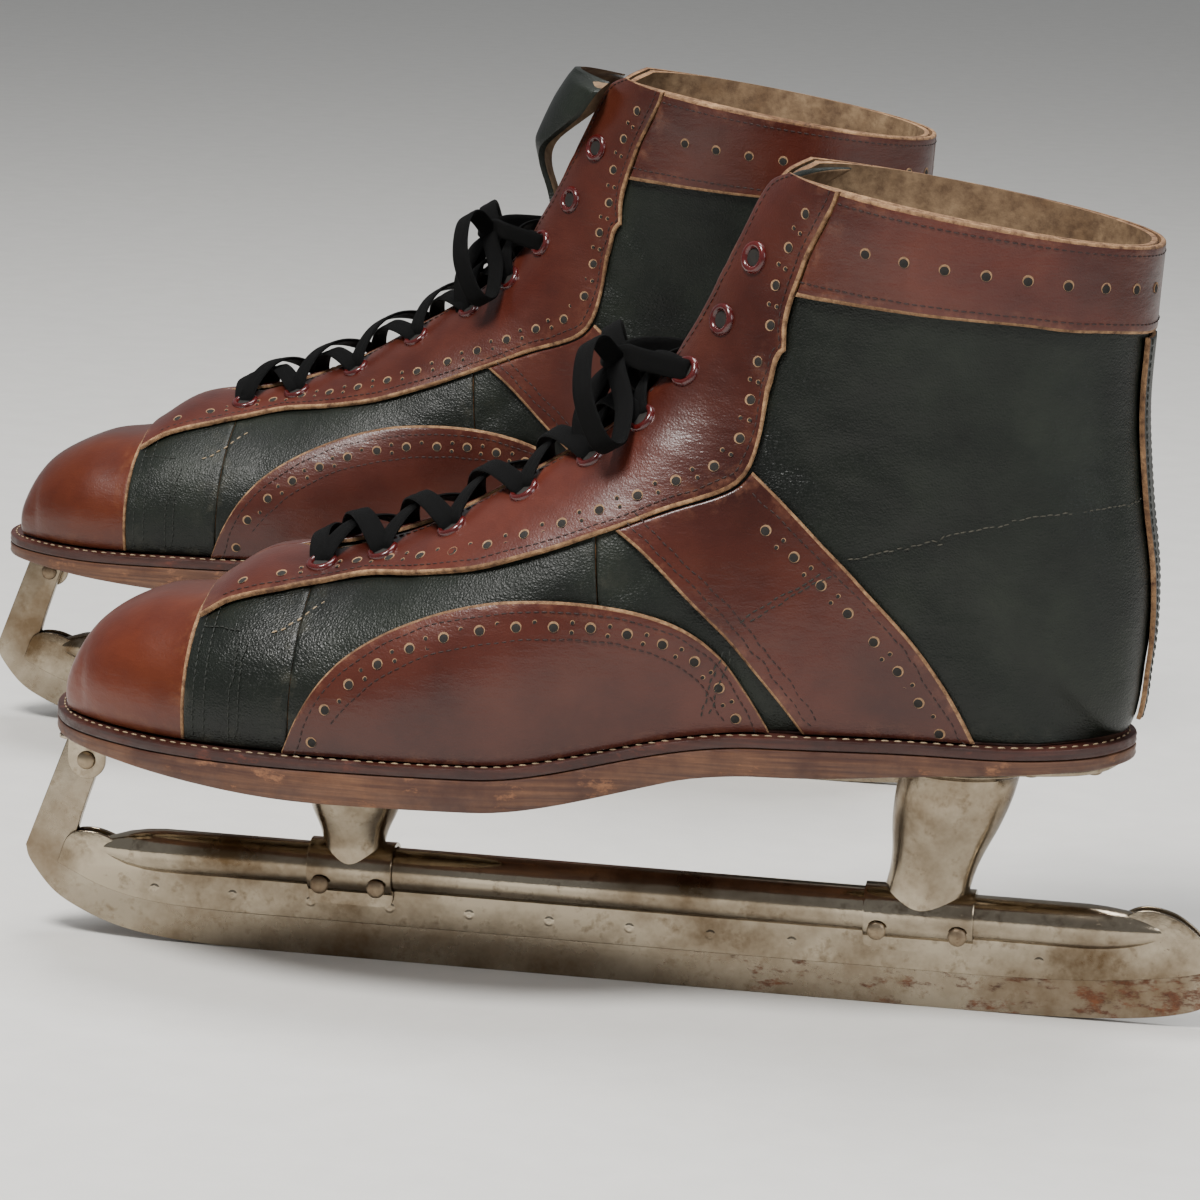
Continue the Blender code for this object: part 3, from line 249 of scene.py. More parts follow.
def plainMaterial(name, colour, roughness, metallic=0.0, bump=0.3, scale=600, coat=0.0):
    mat, tree, shader = startMaterial(name)
    noise = noiseAt(tree, placedCoords(tree, (1, 1, 1)), scale, 4, 0.6)
    dark = [c * 0.6 for c in colour]
    light = [min(1, c * 1.35) for c in colour]
    link(tree, rampOf(tree, noise, [(0.3, dark), (0.7, light)]), shader.inputs["Base Color"])
    shader.inputs["Roughness"].default_value = roughness
    shader.inputs["Metallic"].default_value = metallic
    shader.inputs["Coat Weight"].default_value = coat
    bumpOf(tree, shader, [(noise, bump, 0.0003)])
    return mat


def laceMaterial(name):
    # Flat woven lace: crossed ribs along the ribbon's own UV.
    mat, tree, shader = startMaterial(name)
    uv = addNode(tree, "ShaderNodeUVMap", uv_map="lace")
    waves = []
    for turn in (0.7, -0.7):
        place = addNode(tree, "ShaderNodeMapping", {"Rotation": (0, 0, turn)})
        link(tree, uv.outputs["UV"], place.inputs["Vector"])
        wave = addNode(tree, "ShaderNodeTexWave", {"Scale": 1.6, "Distortion": 0.4})
        link(tree, place.outputs["Vector"], wave.inputs["Vector"])
        waves.append(wave.outputs["Fac"])
    weave = mathOf(tree, "MAXIMUM", waves[0], waves[1])
    dust = noiseAt(tree, placedCoords(tree, (1, 1, 1)), 300, 5, 0.7)
    tone = rampOf(tree, weave, [(0.3, (0.0008, 0.0008, 0.0008)), (0.9, (0.0030, 0.0030, 0.0030))])
    dusty = rampOf(tree, dust, [(0.66, (0, 0, 0)), (0.85, (0.2, 0.2, 0.2))])
    link(tree, mixOf(tree, dusty, tone, (0.02, 0.019, 0.017)), shader.inputs["Base Color"])
    shader.inputs["Roughness"].default_value = 0.75
    shader.inputs["Specular IOR Level"].default_value = 0.12
    bumpOf(tree, shader, [(weave, 0.8, 0.0003), (dust, 0.3, 0.0002)])
    return mat


mats = {name: leatherMaterial(name, look) for name, look in leatherLooks.items()}
mats["rawEdge"] = fuzzyMaterial("rawEdge", (0.40, 0.235, 0.115), (0.085, 0.034, 0.014))
mats["lining"] = fuzzyMaterial("lining", (0.30, 0.20, 0.11), (0.13, 0.075, 0.038), 240, 0.4)
mats["welt"] = soleMaterial("welt", (0.075, 0.020, 0.012), (0.022, 0.006, 0.004), 0.35)
mats["sole"] = soleMaterial("sole", (0.175, 0.078, 0.036), (0.042, 0.013, 0.008), 0.42)
mats["nickel"] = metalMaterial("nickel", (0.42, 0.36, 0.27), (0.11, 0.070, 0.036), (0.10, 0.30), 0.8, 0.19,
                               (1, 1, 1))
mats["blade"] = metalMaterial("blade", (0.36, 0.31, 0.235), (0.16, 0.11, 0.065), (0.20, 0.38), 0.9, -0.02,
                              (0.05, 1, 1))
mats["rivet"] = metalMaterial("rivet", (0.36, 0.29, 0.20), (0.12, 0.07, 0.04), (0.35, 0.60), 0.9, 0.05,
                              (1, 1, 1))
mats["threadPale"] = plainMaterial("threadPale", (0.30, 0.22, 0.13), 0.8)
mats["threadDark"] = plainMaterial("threadDark", (0.020, 0.006, 0.004), 0.7)
mats["threadBlack"] = plainMaterial("threadBlack", (0.012, 0.014, 0.010), 0.7)
mats["scuffPale"] = plainMaterial("scuffPale", (0.045, 0.042, 0.030), 0.8)
# Painted shade: a near-black fill laid over punched holes and eyelet holes in place of the shadow inside them.
mats["holeDark"] = plainMaterial("holeDark", (0.010, 0.008, 0.006), 0.9)
mats["holeRim"] = plainMaterial("holeRim", (0.26, 0.15, 0.075), 0.8, scale=900)
mats["eyelet"] = plainMaterial("eyelet", (0.060, 0.0045, 0.004), 0.22, coat=0.35, bump=0.05, scale=200)
mats["lace"] = laceMaterial("lace")
print("materials:", len(mats))


# The boot's surface, in the skate's own frame.
# x runs back from the toe tip, y is 0 on the blade plane with the outer side
# negative, z is the height above the ice. s counts the sections from the toe
# (0) to the top of the collar (19); u goes -1 outer welt, 0 ridge, +1 inner.

boot = {"length": 300 * mm, "ballWidth": 98 * mm, "heelWidth": 66 * mm, "waistWidth": 71 * mm,
        "weltWidth": 4.2 * mm, "foreTop": 67.5 * mm, "heelRise": 13.5 * mm, "shaftHeight": 131 * mm,
        "leather": 1.8 * mm, "overlay": 1.3 * mm, "over": 0.7 * mm, "seat": 0.6 * mm,
        "throatGap": 7 * mm, "throatGapTop": 12 * mm, "eyeletInset": 9.5 * mm, "butt": 0.004}
weltRows = 14
capSeam = 4.1
throatStart = 5.75
vampEnd = 8.9
# Side views of the panels' edges, in mm: x back from the toe, z up.
facingLine = [(47, 98), (56, 103.5), (68.7, 107.4), (95.5, 114), (122.5, 118.7), (143.9, 125.7), (166.8, 135.1),
              (188, 143.2), (197.2, 149), (199.6, 160), (203.5, 183), (209, 203), (216.9, 221)]
collarLine = [(204, 197), (230, 195.5), (257, 194), (298, 190)]


def spline(knots, count, closed=False):
    knots = np.asarray(knots, float)
    if closed:
        padded = np.vstack([knots[-1], knots, knots[0], knots[1]])
    else:
        padded = np.vstack([2 * knots[0] - knots[1], knots, 2 * knots[-1] - knots[-2]])
    points = []
    for k in range(len(padded) - 3):
        a, b, c, d = padded[k:k + 4]
        for i in range(count):
            t = i / count
            points.append(0.5 * (2 * b + (c - a) * t + (2 * a - 5 * b + 4 * c - d) * t * t
                                 + (3 * b - a - 3 * c + d) * t ** 3))
    if not closed:
        points.append(knots[-1])
    return np.array(points)


def soleKnots():
    length, ball, waist, heel = boot["length"], boot["ballWidth"], boot["waistWidth"], boot["heelWidth"] / 2
    shares = [(0, 0.06 * ball), (0.022, 0.27 * ball), (0.10, 0.42 * ball), (0.20, 0.465 * ball),
              (0.32, 0.47 * ball),
              (0.44, 0.395 * ball), (0.56, 0.42 * waist), (0.68, 0.42 * waist), (0.80, 0.97 * heel),
              (0.90, 0.97 * heel), (0.97, 0.62 * heel), (1, 0), (0.97, -0.62 * heel), (0.90, -0.97 * heel),
              (0.80, -1.03 * heel), (0.68, -0.551 * waist), (0.56, -0.58 * waist), (0.44, -0.51 * ball),
              (0.34, -0.53 * ball), (0.22, -0.49 * ball), (0.11, -0.375 * ball), (0.03, -0.19 * ball)]
    return [(share * length, y) for share, y in shares]


solePlan = spline(soleKnots(), 12, closed=True)
heelIndex = 11 * 12


def planEdges(x):
    x = np.clip(x, 0, boot["length"])
    inner = solePlan[:heelIndex + 1]
    outer = np.vstack([solePlan[heelIndex:], solePlan[:1]])[::-1]
    return np.interp(x, inner[:, 0], inner[:, 1]), np.interp(x, outer[:, 0], outer[:, 1])


def ramp(x, start, end):
    t = np.clip((np.asarray(x, float) - start) / (end - start), 0, 1)
    return t * t * (3 - 2 * t)


def weltHeight(x):
    share = np.asarray(x, float) / boot["length"]
    rise = 0.13 * ramp(share, 0.1, 0.42) + 0.87 * ramp(share, 0.43, 0.68)
    return boot["foreTop"] + boot["heelRise"] * rise


def soleBottom(x):
    share = np.asarray(x, float) / boot["length"]
    ball = ramp(share, 0.0, 0.3) * (1 - ramp(share, 0.46, 0.62))
    waist = ramp(share, 0.46, 0.6) * (1 - ramp(share, 0.7, 0.95))
    return weltHeight(x) - (6.6 + 5.4 * ball + 4.2 * waist) * mm


featherToe = boot["weltWidth"] + 1.2 * mm
featherHeel = boot["length"] - 3.4 * mm
# Base x, base height, ridge x, ridge height, half width, fullness low and high.
sections = np.array([
    (0.0, 0.0, 0.0, 0.0, 0.0, 0.80, 0.80), (2.6, 0.0, 0.8, 11.5, 14.0, 0.80, 0.80),
    (10.6, 0.0, 8.6, 24.0, 27.0, 0.75, 0.80), (24.6, 0.0, 23.6, 32.2, 35.5, 0.70, 0.78),
    (40.6, 0.0, 40.6, 35.2, 40.5, 0.68, 0.80), (56.6, 0.0, 57.0, 45.0, 43.5, 0.68, 0.95),
    (78.6, 0.0, 79.6, 49.0, 45.6, 0.70, 1.05), (104.6, 0.0, 104.6, 58.0, 46.6, 0.72, 1.10),
    (132.6, 0.0, 130.6, 73.5, 43.2, 0.74, 1.08), (162.6, 0.0, 151.6, 87.5, 38.0, 0.75, 1.00),
    (196.6, 0.0, 164.6, 102.0, 35.0, 0.76, 0.95), (234.6, 0.0, 171.2, 115.0, 34.0, 0.76, 0.92),
    (270.6, 0.0, 176.0, 126.0, 33.5, 0.74, 0.90), (291.2, 0.0, 179.6, 135.0, 34.0, 0.72, 0.90),
    (295.6, 19.0, 182.4, 141.5, 34.5, 0.72, 0.90), (296.0, 41.0, 185.0, 147.0, 35.0, 0.74, 0.90),
    (293.0, 64.0, 187.4, 151.5, 35.5, 0.78, 0.90), (291.0, 87.0, 189.8, 155.0, 36.5, 0.82, 0.90),
    (291.6, 109.0, 191.8, 157.5, 38.0, 0.86, 0.90), (292.4, 131.0, 193.8, 159.5, 39.0, 0.88, 0.90)])
top = len(sections) - 1


def sectionValues(s):
    s = np.clip(np.asarray(s, float), 0, top)
    k = np.minimum(s.astype(int), top - 1)
    t = (s - k)[..., None]
    rows = np.vstack([2 * sections[0] - sections[1], sections, 2 * sections[-1] - sections[-2]])
    a, b, c, d = rows[k], rows[k + 1], rows[k + 2], rows[k + 3]
    v = 0.5 * (2 * b + (c - a) * t + (2 * a - 5 * b + 4 * c - d) * t * t + (3 * b - a - 3 * c + d) * t ** 3)
    along = (featherHeel - featherToe) / sections[weltRows - 1, 0]
    upward = boot["shaftHeight"] / sections[-1, 1]
    baseX = featherToe + v[..., 0] * along
    lift = np.where(s <= weltRows - 1, 0.0, np.maximum(v[..., 1], 0.0) * upward)
    baseZ = weltHeight(np.minimum(baseX, boot["length"])) + boot["seat"] + lift
    ridgeX = featherToe + v[..., 2] * along
    ridgeZ = boot["foreTop"] + boot["seat"] + v[..., 3] * upward
    inner, outer = planEdges(baseX)
    centre = 0.5 * (inner + outer) * np.clip((weltRows - 1 - s) / 4.0, 0, 1)
    feather = np.maximum(0.5 * (inner - outer) - boot["weltWidth"] * np.minimum(1, s), 0)
    feather = np.where(s < weltRows - 1, feather, 0)
    feather = np.where(s > weltRows - 2, feather * (weltRows - 1 - s).clip(0, 1) ** 0.25, feather)
    feather = np.where(s < 1, feather * np.sqrt(s.clip(0, 1)), feather)
    half = np.maximum(v[..., 4] * mm, 1.03 * feather)
    return baseX, baseZ, ridgeX, ridgeZ, centre, feather, half, v[..., 5], v[..., 6]


def bareSurface(s, u):
    s, u = np.broadcast_arrays(np.asarray(s, float), np.asarray(u, float))
    baseX, baseZ, ridgeX, ridgeZ, centre, feather, half, low, high = sectionValues(s)
    ratio = np.clip(feather / np.maximum(half, 1e-9), 0, 0.97)
    first = np.arcsin(ratio ** (1 / low))
    angle = math.pi - np.abs(u) * (math.pi - first)
    share = (np.cos(first) - np.cos(angle)) / (np.cos(first) + 1)
    fullness = low + (high - low) * ramp(angle, 0.25 * math.pi, 0.75 * math.pi)
    side = np.where(u < 0, -1.0, 1.0)
    y = centre + side * half * np.sin(angle).clip(0, 1) ** fullness
    return np.stack([baseX + (ridgeX - baseX) * share, y, baseZ + (ridgeZ - baseZ) * share], axis=-1)


def surfaceNormal(s, u):
    s, u = np.broadcast_arrays(np.asarray(s, float), np.asarray(u, float))
    ds, du = 0.02, 0.004
    side = np.where(u < 0, -1.0, 1.0)
    uIn = np.where(np.abs(u) < du, side * du, u)
    sIn = np.clip(s, 0.05, top - ds)
    along = bareSurface(sIn + ds, uIn) - bareSurface(sIn - ds, uIn)
    around = bareSurface(sIn, np.clip(uIn + du, -0.999,
                                      0.999)) - bareSurface(sIn, np.clip(uIn - du, -0.999, 0.999))
    normal = np.cross(along, around)
    normal[np.abs(u) < du, 1] = 0
    return normal / np.maximum(np.linalg.norm(normal, axis=-1, keepdims=True), 1e-12)


def surface(s, u, offset):
    moved = bareSurface(s, u) + surfaceNormal(s, u) * np.asarray(offset, float)[..., None]
    floor = weltHeight(np.clip(moved[..., 0], 0, boot["length"])) + boot["seat"]
    moved[..., 2] = np.maximum(moved[..., 2], floor)
    return moved


girthSteps = np.linspace(0, 1, 241)


def girthAt(s, distance, side, fromBase=False):
    s, distance = np.broadcast_arrays(np.atleast_1d(np.asarray(s, float)), np.asarray(distance, float))
    steps = girthSteps[::-1] if fromBase else girthSteps
    result = np.empty(s.shape)
    for i in range(len(s)):
        line = bareSurface(np.full(steps.shape, s[i]), side * np.maximum(steps, 1e-6))
        arc = np.concatenate([[0], np.cumsum(np.linalg.norm(np.diff(line, axis=0), axis=1))])
        result[i] = np.interp(distance[i], arc, steps)
    return side * result


scanS, scanU = np.meshgrid(np.linspace(0.2, top, 400), np.linspace(0.01, 1, 160), indexing="ij")
scanned = {side: bareSurface(scanS, side * scanU) for side in (-1, 1)}


def locate(x, up, side):
    grid = scanned[side]
    k = np.argmin((grid[..., 0] - x) ** 2 + (grid[..., 2] - up) ** 2)
    return scanS.flat[k], side * scanU.flat[k]


def located(points, side, count, smooth=True):
    line = spline(np.array(points) * mm, 6) if smooth else np.array(points, float) * mm
    pairs = np.array([locate(p[0], p[1], side) for p in line])
    steps = np.concatenate([[0], np.cumsum(np.linalg.norm(np.diff(line, axis=0), axis=1))])
    at = np.linspace(0, steps[-1], count)
    s, u = np.interp(at, steps, pairs[:, 0]), np.interp(at, steps, pairs[:, 1])
    kernel = np.array([1, 2, 1]) / 4
    for values in (s, u):
        if count > 8:
            values[1:-1] = np.convolve(values, kernel, "valid")
    return s, u


def arcTo(s, u, side):
    # Arc distance from the ridge to a girth position, section by section.
    result = np.empty(len(s))
    for i in range(len(s)):
        line = bareSurface(np.full(girthSteps.shape, s[i]), side * np.maximum(girthSteps, 1e-6))
        arc = np.concatenate([[0], np.cumsum(np.linalg.norm(np.diff(line, axis=0), axis=1))])
        result[i] = np.interp(abs(u[i]), girthSteps, arc)
    return result


def throatGap(s):
    s = np.asarray(s, float)
    wide = boot["throatGap"] + (boot["throatGapTop"] - boot["throatGap"]) * ramp(s, 8, 15)
    return wide + 9 * mm * (1 - np.sqrt(1 - ramp(s, top - 2.6, top) ** 2 * 0.98))


print("surface ready")


hands = {}
for prefix, mirror in (("left_", 1), ("right_", -1)):
    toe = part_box(prefix + "outsole")[0][0]
    low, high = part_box(prefix + "blade")
    hands[prefix] = {"prefix": prefix, "mirror": mirror, "x": toe, "y": (low[1] + high[1]) / 2,
                     "body": prefix + "skate"}


class Builder:
    # Collects closed shells for one piece in the skate's own frame.
    def __init__(self):
        self.verts, self.faces, self.slots, self.edge, self.uv = [], [], [], [], []
        self.count = 0

    def add(self, verts, faces, slots, edge=None, uv=None):
        verts = np.asarray(verts, float).reshape(-1, 3)
        self.verts.append(verts)
        self.faces += [tuple(int(i) + self.count for i in face) for face in faces]
        self.slots += list(slots) if hasattr(slots, "__len__") else [slots] * len(faces)
        self.edge.append(np.zeros(len(verts)) if edge is None else np.asarray(edge, float).ravel())
        self.uv.append(np.zeros((len(verts), 2)) if uv is None else np.asarray(uv, float).reshape(-1, 2))
        self.count += len(verts)

    def finish(self, name, hand, materials, ride=True, weld=0.00001, bevel=None, smooth=50, uvName=None):
        mesh = bpy.data.meshes.new(name)
        mesh.from_pydata(np.vstack(self.verts).tolist(), [], self.faces)
        mesh.polygons.foreach_set("material_index", np.array(self.slots, np.int32))
        edge = mesh.attributes.new("edge", "FLOAT", "POINT")
        edge.data.foreach_set("value", np.concatenate(self.edge).astype(np.float32))
        if uvName:
            uv = np.vstack(self.uv)
            loops = np.empty(len(mesh.loops), np.int32)
            mesh.loops.foreach_get("vertex_index", loops)
            layer = mesh.uv_layers.new(name=uvName)
            layer.data.foreach_set("uv", uv[loops].astype(np.float32).ravel())
        bm = bmesh.new()
        bm.from_mesh(mesh)
        if weld:
            bmesh.ops.remove_doubles(bm, verts=bm.verts, dist=weld)
        if hand["mirror"] < 0:
            bmesh.ops.scale(bm, vec=(1, -1, 1), verts=bm.verts)
        bmesh.ops.recalc_face_normals(bm, faces=bm.faces)
        bmesh.ops.translate(bm, vec=(hand["x"], hand["y"], 0), verts=bm.verts)
        bm.to_mesh(mesh)
        bm.free()
        for material in materials:
            mesh.materials.append(mats[material])
        obj = bpy.data.objects.new(hand["prefix"] + name, mesh)
        bpy.context.scene.collection.objects.link(obj)
        if bevel:
            step = obj.modifiers.new("bevel", "BEVEL")
            step.width, step.segments = bevel
            step.limit_method = "ANGLE"
            step.angle_limit = math.radians(35)
            bakeModifiers(obj)
        obj.data.shade_smooth()
        obj.data.set_sharp_from_angle(angle=math.radians(smooth))
        if ride:
            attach(obj, hand["body"])
        return obj


def bakeModifiers(obj):
    graph = bpy.context.evaluated_depsgraph_get()
    mesh = bpy.data.meshes.new_from_object(obj.evaluated_get(graph))
    obj.modifiers.clear()
    obj.data = mesh


def gridFaces(rows, columns, start=0, flip=False):
    index = np.arange(rows * columns).reshape(rows, columns) + start
    quads = np.stack([index[:-1, :-1], index[1:, :-1], index[1:, 1:], index[:-1, 1:]], -1).reshape(-1, 4)
    return quads[:, ::-1] if flip else quads


def bandFaces(rings, around):
    # Quads between stacked closed outlines, and the index of each point.
    index = np.arange(rings * around).reshape(rings, around)
    after = np.roll(index, -1, axis=1)
    return np.stack([index[:-1], index[1:], after[1:], after[:-1]], -1).reshape(-1, 4).tolist(), index


def cappedFaces(rings, around):
    faces, index = bandFaces(rings, around)
    return faces + [index[0][::-1].tolist(), index[-1].tolist()]


def withoutRepeats(face):
    return [v for i, v in enumerate(face) if v not in face[:i]]


def shellParts(outer, inner):
    # Closed sheet between two grids: faces of the outside, the inside and the rim by side.
    rows, columns = outer.shape[:2]
    verts = np.vstack([outer.reshape(-1, 3), inner.reshape(-1, 3)])
    size = rows * columns
    faces = [gridFaces(rows, columns), gridFaces(rows, columns, size, True)]
    index = np.arange(size).reshape(rows, columns)
    rims = {}
    for side, line in (("first", index[0]), ("last", index[-1]), ("left", index[:, 0]),
                       ("right", index[:, -1])):
        rims[side] = np.stack([line[:-1], line[1:], line[1:] + size, line[:-1] + size], -1)
    return verts, faces, rims


def plainShell(part, outer, inner):
    verts, (face, below), rims = shellParts(outer, inner)
    part.add(verts, list(face) + list(below) + [quad for quads in rims.values() for quad in quads], 0)


def resampled(grid, atRows, atColumns):
    # Smooth look-up in a coarse grid at row and column shares (0 to 1).
    def along(values, at):
        n = len(values) - 1
        place = np.clip(at * n, 0, n)
        k = np.minimum(place.astype(int), n - 1)
        t = place - k
        padded = np.concatenate([[2 * values[0] - values[1]], values, [2 * values[-1] - values[-2]]])
        shape = (-1,) + (1,) * (values.ndim - 1)
        t = t.reshape(shape)
        a, b, c, d = padded[k], padded[k + 1], padded[k + 2], padded[k + 3]
        return 0.5 * (2 * b + (c - a) * t + (2 * a - 5 * b + 4 * c - d) * t * t + (3 * b - a - 3 * c + d) * t ** 3)
    rowsDone = along(np.asarray(grid, float), np.asarray(atRows))
    if np.ndim(atColumns) == 1:
        return along(rowsDone.T, np.asarray(atColumns)).T
    return np.stack([along(row, at) for row, at in zip(rowsDone, atColumns)])


def ringShares(length, rings, count):
    # Shares along a line of that length: rings (metres) in from each end, evenly filled between.
    low = [min(r / length, 0.3) for r in rings]
    inside = np.linspace(low[-1], 1 - low[-1], count)
    return np.array([0.0] + low[:-1] + list(inside) + [1 - x for x in low[:-1]][::-1] + [1.0])


def noiseField(points, size, seed=0):
    # Soft wandering values, about -1 to 1, from a few waves in space.
    local = np.random.default_rng(seed)
    total = np.zeros(points.shape[:-1])
    for _ in range(7):
        wave = local.normal(size=3)
        wave *= (0.6 + 1.1 * local.random()) * 2 * math.pi / size / np.linalg.norm(wave)
        total += np.sin(points @ wave + local.random() * 6.28)
    return total / 3.2


panelLook = {"rings": (0.25 * mm, 0.8 * mm, 1.7 * mm), "drop": 0.35 * mm}


def panel(builder, s, u, low, high, rawSides, relief, rows, columns):
    # One leather piece from a coarse (section, girth) grid, with rounded edges and raw-cut rims.
    s, u = np.asarray(s, float), np.asarray(u, float)
    middle = bareSurface(s[:, s.shape[1] // 2], u[:, u.shape[1] // 2])
    length = np.sum(np.linalg.norm(np.diff(middle, axis=0), axis=1))
    atRows = ringShares(length, panelLook["rings"], rows)
    fineS = resampled(s, atRows, np.linspace(0, 1, s.shape[1]))
    fineU = resampled(u, atRows, np.linspace(0, 1, s.shape[1]))
    atColumns = []
    for rowS, rowU in zip(fineS, fineU):
        wide = np.sum(np.linalg.norm(np.diff(bareSurface(rowS, rowU), axis=0), axis=1))
        atColumns.append(ringShares(max(wide, 1e-5), panelLook["rings"], columns))
    fineS = resampled(s, atRows, atColumns)
    fineU = np.clip(resampled(u, atRows, atColumns), -0.99999, 0.99999)
    n, m = fineS.shape
    ringOf = np.minimum(np.minimum(np.arange(n)[:, None], np.arange(n)[::-1, None]),
                        np.minimum(np.arange(m)[None], np.arange(m)[None, ::-1]))
    drop = np.select([ringOf == 0, ringOf == 1], [panelLook["drop"], 0.3 * panelLook["drop"]], 0.0)
    plain = bareSurface(fineS, fineU)
    lift = np.zeros(fineS.shape) if relief is None else relief(plain, fineS, fineU)
    soft = ramp(ringOf.astype(float), 0, 6)
    offset = high - drop + lift * (0.35 + 0.65 * soft)
    outer = surface(fineS, fineU, offset)
    inner = surface(fineS, fineU, low + np.zeros(fineS.shape))
    verts, (face, under), rims = shellParts(outer, inner)
    count = (n - 1) * (m - 1)
    slots = np.zeros(count, int).reshape(n - 1, m - 1)
    ring = 2
    marks = {"first": np.s_[:ring, :], "last": np.s_[-ring:, :], "left": np.s_[:, :ring],
             "right": np.s_[:, -ring:]}
    for side in rawSides:
        slots[marks[side]] = 2
    faces = list(face) + list(under)
    kinds = list(slots.ravel()) + [1] * count
    for side, quads in rims.items():
        faces += list(quads)
        kinds += [2] * len(quads)
    near = np.select([ringOf <= 1, ringOf <= 3, ringOf <= 5], [1.0, 0.75, 0.3], 0.0)
    builder.add(verts, faces, kinds, np.concatenate([near.ravel(), np.zeros(n * m)]))
    return fineS, fineU


print("mesh tools ready")


def nodeGroup(name, inputs):
    group = bpy.data.node_groups.new(name, "GeometryNodeTree")
    face = group.interface
    face.new_socket("Geometry", in_out="INPUT", socket_type="NodeSocketGeometry")
    ids = {}
    for label, kind in inputs:
        ids[label] = face.new_socket(label, in_out="INPUT", socket_type=kind).identifier
    face.new_socket("Geometry", in_out="OUTPUT", socket_type="NodeSocketGeometry")
    return group, ids, group.nodes.new("NodeGroupInput"), group.nodes.new("NodeGroupOutput")


def turnFromAttributes(group):
    # Rotation with Z along the stored outward direction and X along the stored aim.
    turn = group.nodes.new("FunctionNodeAxesToRotation")
    turn.primary_axis, turn.secondary_axis = "Z", "X"
    for label, socket in (("outward", turn.inputs[0]), ("aim", turn.inputs[1])):
        read = group.nodes.new("GeometryNodeInputNamedAttribute")
        read.data_type = "FLOAT_VECTOR"
        read.inputs["Name"].default_value = label
        group.links.new(read.outputs["Attribute"], socket)
    return turn.outputs[0]


def realizeAndPaint(group, place, source, sink):
    links = group.links
    real = group.nodes.new("GeometryNodeRealizeInstances")
    links.new(place.outputs["Instances"], real.inputs["Geometry"])
    paint = group.nodes.new("GeometryNodeSetMaterial")
    links.new(real.outputs["Geometry"], paint.inputs["Geometry"])
    links.new(source.outputs["Material"], paint.inputs["Material"])
    links.new(paint.outputs["Geometry"], sink.inputs["Geometry"])


def stitchGroup():
    group, ids, source, sink = nodeGroup("stitches", [
        ("Length", "NodeSocketFloat"), ("Thickness", "NodeSocketFloat"), ("Material", "NodeSocketMaterial")])
    links = group.links
    ball = group.nodes.new("GeometryNodeMeshUVSphere")
    ball.inputs["Segments"].default_value = 8
    ball.inputs["Rings"].default_value = 6
    ball.inputs["Radius"].default_value = 0.5
    size = group.nodes.new("ShaderNodeCombineXYZ")
    links.new(source.outputs["Length"], size.inputs["X"])
    links.new(source.outputs["Thickness"], size.inputs["Y"])
    links.new(source.outputs["Thickness"], size.inputs["Z"])
    place = group.nodes.new("GeometryNodeInstanceOnPoints")
    links.new(source.outputs["Geometry"], place.inputs["Points"])
    links.new(ball.outputs["Mesh"], place.inputs["Instance"])
    links.new(turnFromAttributes(group), place.inputs["Rotation"])
    links.new(size.outputs[0], place.inputs["Scale"])
    realizeAndPaint(group, place, source, sink)
    return group, ids


def scatterGroup():
    group, ids, source, sink = nodeGroup("scatter", [
        ("Pattern", "NodeSocketObject"), ("Material", "NodeSocketMaterial")])
    links = group.links
    pattern = group.nodes.new("GeometryNodeObjectInfo")
    links.new(source.outputs["Pattern"], pattern.inputs["Object"])
    size = group.nodes.new("GeometryNodeInputNamedAttribute")
    size.data_type = "FLOAT"
    size.inputs["Name"].default_value = "size"
    place = group.nodes.new("GeometryNodeInstanceOnPoints")
    links.new(source.outputs["Geometry"], place.inputs["Points"])
    links.new(pattern.outputs["Geometry"], place.inputs["Instance"])
    links.new(turnFromAttributes(group), place.inputs["Rotation"])
    links.new(size.outputs["Attribute"], place.inputs["Scale"])
    realizeAndPaint(group, place, source, sink)
    return group, ids


groups = {"stitches": stitchGroup(), "scatter": scatterGroup()}


def instanced(name, hand, points, outward, aim, groupName, values, size=None):
    # Runs a node group on stored points and keeps the result as a plain mesh.
    flip = np.array([1, hand["mirror"], 1])
    shift = np.array([hand["x"], hand["y"], 0])
    mesh = bpy.data.meshes.new(name)
    mesh.from_pydata((np.asarray(points) * flip + shift).tolist(), [], [])
    for label, data in (("outward", outward), ("aim", aim)):
        layer = mesh.attributes.new(label, "FLOAT_VECTOR", "POINT")
        layer.data.foreach_set("vector", (np.asarray(data) * flip).astype(np.float32).ravel())
    sizes = np.ones(len(points)) if size is None else np.asarray(size, float)
    mesh.attributes.new("size", "FLOAT", "POINT").data.foreach_set("value", sizes.astype(np.float32))
    obj = bpy.data.objects.new(hand["prefix"] + name, mesh)
    bpy.context.scene.collection.objects.link(obj)
    step = obj.modifiers.new(groupName, "NODES")
    step.node_group, ids = groups[groupName]
    for label, value in values.items():
        step[ids[label]] = value
    bpy.context.view_layer.update()
    bakeModifiers(obj)
    obj.data.shade_smooth()
    obj.data.set_sharp_from_angle(angle=math.radians(50))
    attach(obj, hand["body"])
    return obj


